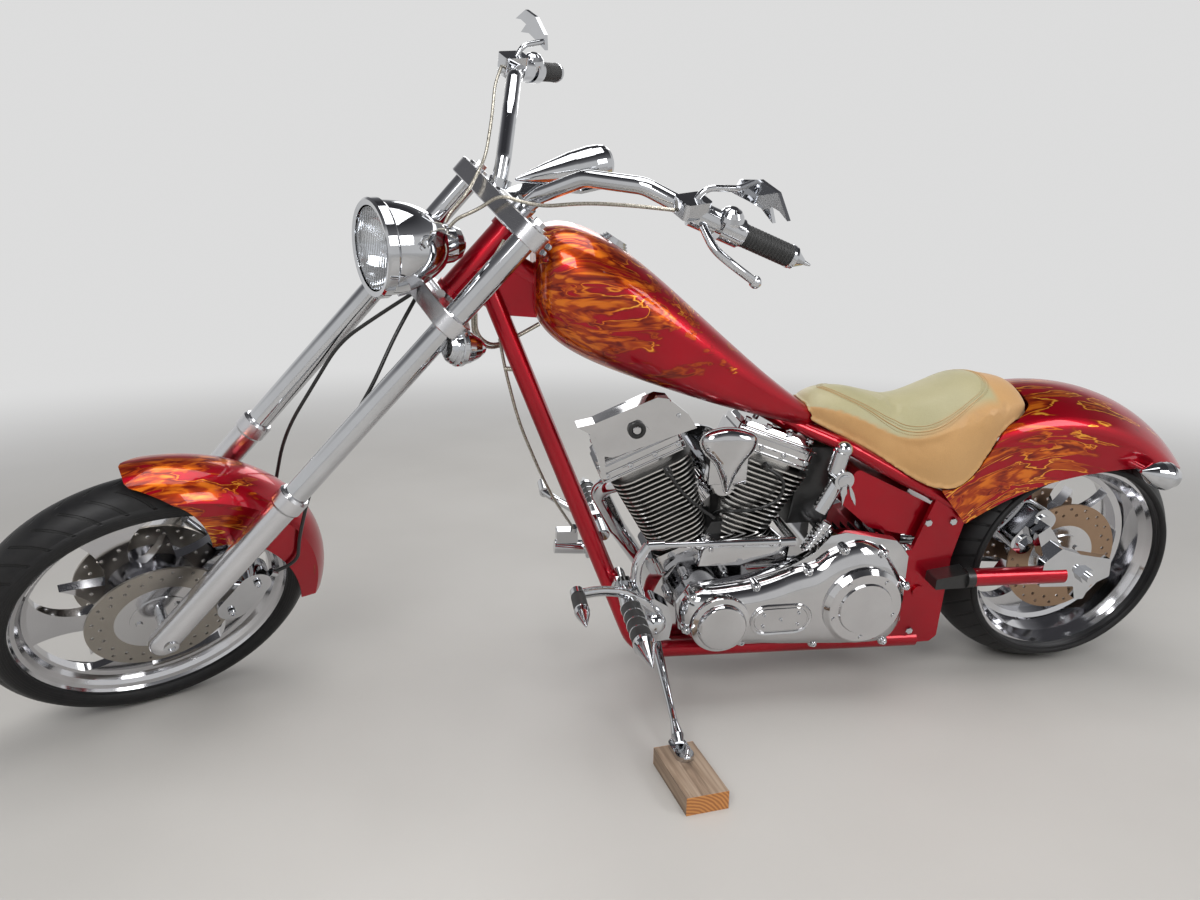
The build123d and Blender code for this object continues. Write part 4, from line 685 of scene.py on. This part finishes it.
def on_line(line, point):
    """The point of a polyline nearest to a point."""
    best = None
    for a, b in zip(line, line[1:]):
        a, b = Vector(a), Vector(b)
        share = min(max((point - a).dot(b - a) / (b - a).length_squared, 0), 1)
        at = a.lerp(b, share)
        if best is None or (at - point).length < (best - point).length:
            best = at
    return best


def smooth_loop(points, step):
    """A closed curve through the points, as points about step apart."""
    at = [Vector(p) for p in points]
    made = []
    for k in range(len(at)):
        p0, p1, p2, p3 = at[k - 1], at[k], at[(k + 1) % len(at)], at[(k + 2) % len(at)]
        count = max(int((p2 - p1).length / step), 1)
        for j in range(count):
            t = j / count
            made.append(0.5 * (2 * p1 + (p2 - p0) * t + (2 * p0 - 5 * p1 + 4 * p2 - p3) * t * t
                               + (3 * p1 - p0 - 3 * p2 + p3) * t ** 3))
    return made


def slot_loop(x, z, length, width):
    """A slot's outline in x and z."""
    reach, radius, count = (length - width) / 2, width / 2, 12
    points = []
    for side, start in ((1, -90), (-1, 90)):
        for k in range(count + 1):
            turn = math.radians(start + 180 * k / count)
            points.append((x + side * reach + radius * math.cos(turn), z + radius * math.sin(turn)))
    return points


BIKE_CHROME, FORK_CHROME = CHROME["bike"], CHROME["fork"]
LEFT = Vector((0, 1, 0))
BLACK_STEEL, BLACK_HOSE = SHADES[("black_steel", "bike")], SHADES[("hose_black", "bike")]
SEAT_LEATHER = SHADES[("seat_leather", "bike")]

# The outlines and places that follow are drawing millimetres: x and z seen from the left,
# and y across the motorcycle. Two-number points are (x, z).

# Primary cover: the flat inner plate, the crowned outer cover with its bosses, the engine
# sprocket's dome and the inspection plate
PRIMARY_PLATE = (
    (1028, 240), (1032, 300), (1004, 346), (872, 360), (770, 388), (712, 420), (676, 462),
    (640, 468), (512, 440), (494, 424), (474, 396), (468, 220), (490, 186), (528, 172),
    (866, 184), (986, 206),
)
PRIMARY_OUTER = (
    (988, 215), (1022, 248), (1034, 288), (1022, 332), (990, 350), (940, 352), (872, 358),
    (816, 370), (764, 388), (716, 400), (684, 424), (642, 443), (600, 448), (551, 427),
    (514, 383), (486, 334), (474, 270), (482, 206), (520, 174), (600, 172), (700, 180),
    (790, 188), (900, 202),
)
PRIMARY_SPINE = ((945, 274), (800, 274), (600, 300))
PRIMARY_BOSSES = (
    (1014, 250), (1006, 336), (856, 352), (733, 384), (650, 434),
    (552, 420), (484, 330), (520, 182), (700, 190), (880, 208),
)
SPROCKET_DOME = (
    (0, 72), (22, 72), (27, 69), (29, 62), (30, 58), (38, 56.5), (42, 53), (43.5, 46), (44, 1),
)
INSPECTION = (798, 277)


def inspection_rings(*levels):
    """Slot outlines round the inspection plate's middle, each at (y, length, width)."""
    return [
        [(x, y, z) for x, z in slot_loop(*INSPECTION, length, width)] for y, length, width in levels
    ]


kit = Kit()
kit.slab(PRIMARY_PLATE, 127, 152)
kit.crowned(smooth_loop(PRIMARY_OUTER, 9), PRIMARY_SPINE, 150, 199)
for x, z in PRIMARY_BOSSES:
    kit.lathe((x, 150, z), (x, 200, z), ((0, 12), (24, 12), (28, 9)), 20)
kit.lathe((940, 172, 271), (940, 240, 271), SPROCKET_DOME, 48)
bezel = inspection_rings(
    (188, 150, 80), (200, 150, 80), (202, 146, 76), (200, 138, 68), (196, 136, 66),
)
kit.rings(bezel, capped=False)
kit.rings(inspection_rings((188, 130, 60), (199, 130, 60), (200.5, 127, 57)))
shell = kit.done("primary_shell", "frame", COVER_CHROME, "chrome")
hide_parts("primary_cover")

# Horn cover: a domed spade with a beaded rim, its back plate and its post
SPADE = (
    (988, 682), (974, 702), (930, 712), (884, 704), (858, 688), (860, 660),
    (882, 630), (902, 592), (919, 554), (934, 592), (952, 628), (978, 656),
)
SPADE_SPINE = ((945, 682), (925, 680), (903, 682), (922, 640))
kit = Kit()
kit.slab([(962, 652), (872, 652), (872, 574), (962, 574)], 82, 90)
kit.lathe((915, 62, 668), (915, 92, 668), ((0, 14), (29, 14)), 24)
spade = smooth_loop(SPADE, 5)
kit.crowned(spade, SPADE_SPINE, 88, 112, 2.4)
kit.tube([(x, 91, z) for x, z in spade + spade[:1]], 2.6, 8)
shell = kit.done("horn_shell", "frame", COVER_CHROME, "chrome")
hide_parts("horn_cover")

# Rocker boxes: the ribs along their split lines
kit = Kit()
for end in ("front", "rear"):
    for along in (388, 404, 430):
        kit.tube([on_bore(end, x, 61.5, along) for x in (-101, 0, 101)], 2.4, 8)
kit.done("rocker_ribs", "frame", COVER_CHROME, "chrome")

# Between and behind the cylinders: the intake with its two manifold legs, the lifter blocks
# and the case top; the ribbed starter solenoid; the black wiring box
kit = Kit()
kit.lathe((915, -70, 560), (915, 60, 560), ((0, 30), (130, 30), (134, 26)), 32)
for foot, top in (((880, 20, 520), (842, 20, 560)), ((950, 20, 520), (986, 20, 560))):
    kit.lathe(foot, top, ((0, 26), (40, 26), (50, 32), (56, 32)), 28)
for x in (868, 902, 936, 968):
    kit.lathe((x, 62, 420), (x, 86, 420), ((0, 15), (20, 15), (24, 11)), 20)
kit.slab([(976, 372), (968, 414), (940, 438), (790, 442), (752, 412), (756, 366)], 40, 104, 10)
for x, z in ((948, 418), (800, 424), (770, 396), (872, 426)):
    kit.socket((x, 104, z), (x, 140, z), 6, 6)
kit.done("intake", "frame", COVER_CHROME, "chrome")
kit = Kit()
ribs = [(0, 14)]
for k in range(8):
    ribs += [(4 + k * 10, 14), (4 + k * 10, 21), (9 + k * 10, 21), (9 + k * 10, 14)]
kit.lathe((716, 112, 400), (672, 112, 478), ribs + [(88, 14), (90, 8)], 28)
kit.done("starter_solenoid", "frame", COVER_CHROME, "chrome")
kit = Kit()
kit.slab([(742, 440), (722, 600), (700, 640), (640, 640), (622, 560), (640, 440)], -56, 40, 8)
kit.slab([(900, 470), (930, 470), (938, 640), (892, 640)], -50, 20, 6)
kit.slab([(884, 430), (958, 430), (940, 470), (902, 470)], -20, 66, 6)
kit.done("wiring_box", "frame", BLACK_STEEL, "black_steel")

# Coil cover's button in its black ring
BUTTON = (1133, 713)
for name, profile, material, slot in (
    ("coil_button_ring", ((0, 20), (11, 20), (13, 17), (13, 12), (10, 11), (10, 1)),
     BLACK_HOSE, "hose_black"),
    ("coil_button", ((0, 11), (11, 11), (14, 8), (15, 1)), COVER_CHROME, "chrome"),
):
    kit = Kit()
    kit.lathe((BUTTON[0], 80, BUTTON[1]), (BUTTON[0], 120, BUTTON[1]), profile, 28)
    kit.done(name, "frame", material, slot)

# Ignition switch's face, with its key and the spare that hangs from it
KEY = ((660, 588), (668, 588), (672, 572), (668, 560), (664, 538), (660, 560), (656, 572))
SPARE_KEY = ((650, 586), (656, 590), (650, 566), (640, 548), (634, 540), (636, 556), (642, 572))
kit = Kit()
kit.lathe((664, 152, 598), (664, 180, 598), ((0, 15), (3, 15), (4, 12), (4, 1)), 24)
kit.slab(KEY, 154, 157, 0.5)
kit.slab(SPARE_KEY, 158, 161, 0.5)
kit.done("ignition_keys", "frame", BIKE_CHROME, "chrome")

# Engine screws: rocker boxes, derby cover, inspection plate, primary cover, coil cover,
# crankcase, transmission and the rear plates' hexagon bolts
DERBY, DERBY_SCREW_CIRCLE = (600, 300), 78
kit = Kit()
for end in ("front", "rear"):
    for x in (-84, -28, 28, 84):
        for y in (44, -44):
            kit.socket(on_bore(end, x, y, 445), on_bore(end, x, y, 500), 8, 9)
    for x in (-88, -30, 30, 88):
        kit.socket(on_bore(end, x, 60, 400), on_bore(end, x, 90, 400), 6.5, 6)
for k in range(5):
    turn = math.radians(54 + 72 * k)
    place = Vector((
        DERBY[0] + DERBY_SCREW_CIRCLE * math.cos(turn),
        210,
        DERBY[1] + DERBY_SCREW_CIRCLE * math.sin(turn),
    ))
    kit.socket(place, place + LEFT, 6, 6)
for y, radius, height, places in (
    (200, 4.5, 3, ((756, 262), (756, 292), (840, 262), (840, 292), INSPECTION)),
    (178, 7, 6, PRIMARY_BOSSES),
    (84, 5, 3, (BUTTON, (1040, 742))),
    (90, 8, 8, ((905, 344), (1003, 344), (1040, 300), (868, 300))),
    (117, 6, 6, ((590, 418), (462, 396), (448, 314))),
):
    for x, z in places:
        kit.socket((x, y, z), (x, y + 40, z), radius, height)
for x, z in ((424, 172), (424, 470), (360, 470)):
    kit.screw((x, 123, z), (x, 160, z), 10, 8)
kit.done("engine_screws", "frame", BIKE_CHROME, "chrome")

# Headlight: reflector bowl and bulb shield behind the lens
LENS = Vector((1692, 0, 1129))
BACK = Vector((1503, 0, 1112))
rear_way = (BACK - LENS).normalized()
kit = Kit()
bowl = ((2, 80), (16, 77), (34, 66), (52, 48), (64, 28), (70, 12), (71, 1))
kit.lathe(LENS + rear_way * 9, BACK, bowl, 48, closed=False)
kit.lathe(LENS + rear_way * 56, LENS, ((0, 9), (14, 14), (26, 14), (30, 9), (31, 1)), 24)
kit.done("headlight_reflector", "fork", FORK_CHROME, "chrome")

# Turn signals: clear lenses in chrome bullets
kit = Kit()
for side in (1, -1):
    face, nose = Vector((1602, 150 * side, 983)), Vector((1514, 150 * side, 958))
    way = (face - nose).normalized()
    dome = ((0, 34.4), (8, 33.6), (14, 30), (21, 20), (22.5, 1))
    kit.lathe(face - way * 20, face + way, dome, 32)
kit.done("front_signal_lenses", "fork", SHADES[("lens_glass", "fork")], "lens_glass")

# Fork bolts: pinch bolts on both trees, fender bolts, axle ends, caliper bolts and pins
LOWER_TREE, UPPER_TREE = 887, 1117
kit = Kit()
for level in (LOWER_TREE, UPPER_TREE):
    for side in (1, -1):
        for up in (11, 26):
            place = on_fork(-30, 150 * side, level + up)
            kit.socket(place, on_fork(-80, 150 * side, level + up), 6, 7)
for side in (1, -1):
    kit.screw(on_fork(14, 100 * side, 250), on_fork(14, 60 * side, 250), 9, 8)
    kit.socket(on_fork(0, 152 * side, 0), on_fork(0, 200 * side, 0), 15, 5)
    for along in (-46, 46):
        place = on_fork(-118, 96 * side, 118 + along)
        kit.socket(place, place + LEFT * side, 8, 7)
    kit.lathe(on_fork(-146, 78 * side, 190), on_fork(-100, 78 * side, 190), ((-8, 9), (8, 9)), 12)
kit.done("fork_bolts", "fork", FORK_CHROME, "chrome")

# Grips: raised rubber ribs and chrome end rings
ELBOW, TIP = Vector((1205, 345, 1310)), Vector((1022, 462, 1250))
run = (TIP - ELBOW).normalized()


def on_grip(distance, side):
    """The point that far from the handlebar's elbow along a grip's axis."""
    at = ELBOW + run * distance
    return Vector((at.x, at.y * side, at.z))


ribs, rings = Kit(), Kit()
for side in (1, -1):
    for k in range(14):
        rib = ((0, 20.2), (1, 21.4), (4, 21.4), (5, 20.2))
        ribs.lathe(on_grip(80 + k * 7, side), on_grip(180, side), rib, 24)
    for distance, radius in ((74, 22.5), (178, 22.5), (70, 24)):
        ring = ((0, radius - 2), (1, radius), (5, radius), (6, radius - 2))
        rings.lathe(on_grip(distance, side), on_grip(distance + 50, side), ring, 24)
ribs.done("grip_ribs", "fork", SHADES[("grip_rubber", "fork")], "grip_rubber")
rings.done("grip_rings", "fork", FORK_CHROME, "chrome")

# Footpegs: chrome rings between the rubbers
kit = Kit()
for side in (1, -1):
    for y in (286, 317, 349):
        start, end = (1165, y * side, 366), (1165, (y + 50) * side, 366)
        kit.lathe(start, end, ((0, 20), (0.6, 23), (3.4, 23), (4, 20)), 24)
kit.done("footpeg_rings", "frame", BIKE_CHROME, "chrome")

# Seat: the CAD seat drawn in a little and swelled as cloth under pressure, its underside
# held, then its seams and stitches. SEAM is the left half in x and y.
SEAM = (
    (684, 0), (664, 30), (633, 52), (567, 78), (515, 94), (473, 104), (441, 109), (410, 111),
    (386, 110), (360, 105), (322, 90), (300, 64), (290, 34), (286, 0),
)
SEAM_CENTRE = Vector((470, 0))
UNDERSIDE = -0.3  # normals that point down more than this belong to the held underside
DRAWN_IN = 0.007  # metres
MOST_SWELL = 0.010  # metres
CLOTH_FRAMES = 20


def modified(piece):
    """The piece's mesh with its modifiers, as a new mesh; the piece's modifiers are cleared."""
    graph = bpy.context.evaluated_depsgraph_get()
    graph.update()
    mesh = bpy.data.meshes.new_from_object(piece.evaluated_get(graph), depsgraph=graph)
    piece.modifiers.clear()
    return mesh


def swelled(pad, normals):
    """The pad's mesh as cloth blown up from inside, its underside held."""
    held = pad.vertex_groups.new(name="held")
    held.add([i for i, n in enumerate(normals) if n.z < UNDERSIDE], 1.0, "REPLACE")
    cloth = pad.modifiers.new("cloth", "CLOTH")
    cloth.settings.use_pressure = True
    cloth.settings.uniform_pressure_force = 4
    cloth.settings.effector_weights.gravity = 0
    cloth.settings.vertex_group_mass = "held"
    cloth.settings.quality = 4
    cloth.collision_settings.use_collision = False
    for step in range(1, CLOTH_FRAMES + 1):
        scene.frame_set(step)
    mesh = modified(pad)
    scene.frame_set(1)
    return mesh


def seat_pad():
    """The padded seat that stands for the CAD one."""
    solid = nodes["seat"]
    pad = bpy.data.objects.new("seat_pad", solid.data.copy())
    scene.collection.objects.link(pad)
    pad.data.transform(DRAWN["bike"].inverted() @ solid.matrix_world)
    pad.matrix_world = DRAWN["bike"]
    weld = pad.modifiers.new("weld", "WELD")
    weld.merge_threshold = 0.0002
    remesh = pad.modifiers.new("remesh", "REMESH")
    remesh.mode = "VOXEL"
    remesh.voxel_size = 0.006
    smooth = pad.modifiers.new("smooth", "SMOOTH")
    smooth.iterations = 6
    smooth.factor = 0.5
    pad.data = modified(pad)
    normals = [v.normal.copy() for v in pad.data.vertices]
    for vertex, normal in zip(pad.data.vertices, normals):
        if normal.z > UNDERSIDE:
            vertex.co = vertex.co - normal * DRAWN_IN
    start = [v.co.copy() for v in pad.data.vertices]
    full = swelled(pad, normals)
    for vertex, at, after in zip(pad.data.vertices, start, full.vertices):
        move = after.co - at
        if move.length > MOST_SWELL:
            move = move.normalized() * MOST_SWELL
        vertex.co = at + move
    made = bmesh.new()
    made.from_mesh(pad.data)
    bmesh.ops.smooth_vert(
        made, verts=made.verts, factor=0.5, use_axis_x=True, use_axis_y=True, use_axis_z=True,
    )
    made.to_mesh(pad.data)
    made.free()
    subdivide = pad.modifiers.new("subdivide", "SUBSURF")
    subdivide.levels = 1
    subdivide.render_levels = 1
    pad.data = modified(pad)
    for polygon in pad.data.polygons:
        polygon.use_smooth = True
    pad.data.materials.clear()
    pad.data.materials.append(SEAT_LEATHER)
    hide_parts("seat")
    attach(pad, "frame")
    return pad


def laid(tree, x, y, lift):
    """The point of the pad's top at (x, y), lifted off the leather, in drawing millimetres."""
    from_above, near_top = Vector((x / 1000, y / 1000, 1.2)), Vector((x / 1000, y / 1000, 0.70))
    hit, normal = tree.ray_cast(from_above, Vector((0, 0, -1)))[:2]
    if hit is None:
        hit, normal = tree.find_nearest(near_top)[:2]
    return (hit + normal * lift / 1000) * 1000


seat = seat_pad().data
surface = BVHTree.FromPolygons(
    [v.co for v in seat.vertices], [tuple(p.vertices) for p in seat.polygons],
)
loop = smooth_loop(SEAM + tuple((x, -y) for x, y in SEAM[-2:0:-1]), 6)


def seam_line(offset, lift):
    """Points round the seam, moved out by offset and laid on the leather."""
    path = [p + (p - SEAM_CENTRE).normalized() * offset for p in loop]
    return [laid(surface, p.x, p.y, lift) for p in path]


seam, thread = Kit(), Kit()
for offset, radius in ((0, 1.6), (-9, 1.1)):
    at = seam_line(offset, 0.2)
    seam.tube(at + at[:1], radius, 6)
for offset in (5, -4.5):
    at = seam_line(offset, 0.5)
    for a, b in zip(at, at[1:] + at[:1]):
        way = (b - a) * 0.3
        thread.tube([a + way * 0.4, (a + b) / 2 + Vector((0, 0, 0.3)), b - way * 0.4], 0.7, 5)
seam.done("seat_seams", "frame", SEAT_LEATHER, "seat_leather")
thread.done("seat_stitches", "frame", SEAT_LEATHER, "seat_leather")

# Camera: where the photograph was taken from, set against the rear axle
REAR_AXLE = Vector(joints["rear_wheel_spin"]["pos_m"])
FROM_AXLE = Vector((1.5203, 1.9449, 0.7521))
FOCAL_LENGTH, SENSOR_WIDTH = 25.961, 36
yaw, pitch, roll = (math.radians(v) for v in (-9.752, 13.403, -0.839))
right = Vector((-math.cos(yaw), -math.sin(yaw), 0))
ahead = Vector((math.sin(yaw), -math.cos(yaw), 0))
down = Vector((0, 0, -1))
aim = ahead * math.cos(pitch) + down * math.sin(pitch)
tilted = down * math.cos(pitch) - ahead * math.sin(pitch)
across = right * math.cos(roll) + tilted * math.sin(roll)
below = tilted * math.cos(roll) - right * math.sin(roll)
camera_data = bpy.data.cameras.new("camera")
camera_data.sensor_width = SENSOR_WIDTH
camera_data.lens = FOCAL_LENGTH
camera = bpy.data.objects.new("camera", camera_data)
scene.collection.objects.link(camera)
turn = Matrix((across, -below, -aim)).transposed().to_4x4()
camera.matrix_world = Matrix.Translation(REAR_AXLE + FROM_AXLE) @ turn
scene.camera = camera

# World: the lamps' soft room for diffuse light; eyes, metal and glass see a pale wall
# that darkens overhead
HORIZON = (0.72, 0.72, 0.72)
world = bpy.data.worlds.new("world")
scene.world = world
world.use_nodes = True
tree = world.node_tree


def gradient(strength, *stops):
    """A background whose colour follows the height of the view's direction."""
    where = tree.nodes.new("ShaderNodeTexCoord")
    axes = tree.nodes.new("ShaderNodeSeparateXYZ")
    tree.links.new(where.outputs["Generated"], axes.inputs[0])
    ramp = tree.nodes.new("ShaderNodeValToRGB")
    tree.links.new(axes.outputs[2], ramp.inputs[0])
    while len(ramp.color_ramp.elements) < len(stops):
        ramp.color_ramp.elements.new(0.5)
    for element, (at, colour) in zip(ramp.color_ramp.elements, stops):
        element.position = at
        element.color = (*colour, 1)
    made = tree.nodes.new("ShaderNodeBackground")
    tree.links.new(ramp.outputs[0], made.inputs[0])
    made.inputs[1].default_value = strength
    return made.outputs[0]


def seen_rays(tree):
    """1 for the camera's rays and those in metal and glass."""
    path = tree.nodes.new("ShaderNodeLightPath")
    total = path.outputs["Is Camera Ray"]
    for name in ("Is Glossy Ray", "Is Transmission Ray"):
        larger = tree.nodes.new("ShaderNodeMath")
        larger.operation = "MAXIMUM"
        tree.links.new(total, larger.inputs[0])
        tree.links.new(path.outputs[name], larger.inputs[1])
        total = larger.outputs[0]
    return total


soft = gradient(
    0.5, (0.0, (0.10, 0.095, 0.09)), (0.12, (0.42, 0.42, 0.43)), (0.9, (0.95, 0.95, 0.97)),
)
pale = gradient(
    1.0, (0.0, HORIZON), (0.34, HORIZON), (0.48, (0.20, 0.20, 0.21)), (0.78, (0.05, 0.05, 0.055)),
)
choose = tree.nodes.new("ShaderNodeMixShader")
tree.links.new(seen_rays(tree), choose.inputs[0])
tree.links.new(soft, choose.inputs[1])
tree.links.new(pale, choose.inputs[2])
tree.links.new(choose.outputs[0], tree.nodes["World Output"].inputs[0])
scene.view_settings.view_transform = "Standard"

# Four soft lamps that look at the motorcycle's middle: place and size in metres, then watts
AIM = Vector((0, 0, 0.5))
for name, place, size, watts in (
    ("key", (1.6, 3.2, 3.0), 1.8, 95),
    ("fill", (-2.6, 2.4, 2.2), 1.4, 42),
    ("top", (0.0, 0.2, 3.6), 2.2, 56),
    ("back", (-0.4, -3.0, 2.4), 1.6, 24),
):
    lamp = bpy.data.lights.new(name, "AREA")
    lamp.size = size
    lamp.energy = watts
    light = bpy.data.objects.new(name, lamp)
    scene.collection.objects.link(light)
    light.location = place
    light.rotation_euler = (AIM - light.location).to_track_quat("-Z", "Y").to_euler()

# Floor: pale, and far away it turns into the horizon's colour for the eye, metal and glass
FLOOR_HALF = 9
corners = [(x * FLOOR_HALF, y * FLOOR_HALF, 0) for x, y in ((-1, -1), (1, -1), (1, 1), (-1, 1))]
floor_mesh = bpy.data.meshes.new("floor")
floor_mesh.from_pydata(corners, [], [(0, 1, 2, 3)])
floor = bpy.data.objects.new("floor", floor_mesh)
scene.collection.objects.link(floor)
plain = Shade("floor", None)
tone = plain.ramp(plain.noise(2, 3), (0.3, (0.50, 0.485, 0.46)), (0.7, (0.47, 0.455, 0.43)))
plain.set(base_color=tone, roughness=0.5)
away = plain.node("VectorMath", operation="LENGTH")
plain.plug(away.inputs[0], plain.place)
far = plain.node("Emission")
far.inputs["Color"].default_value = (*HORIZON, 1)
mixed = plain.node("MixShader")
distant = plain.within(away.outputs["Value"], 2.0, 6.0)
plain.plug(mixed.inputs[0], plain.math("MULTIPLY", distant, seen_rays(plain.tree)))
plain.plug(mixed.inputs[1], plain.bsdf.outputs[0])
plain.plug(mixed.inputs[2], far.outputs[0])
plain.plug(plain.tree.nodes["Material Output"].inputs[0], mixed.outputs[0])
floor_mesh.materials.append(plain.mat)
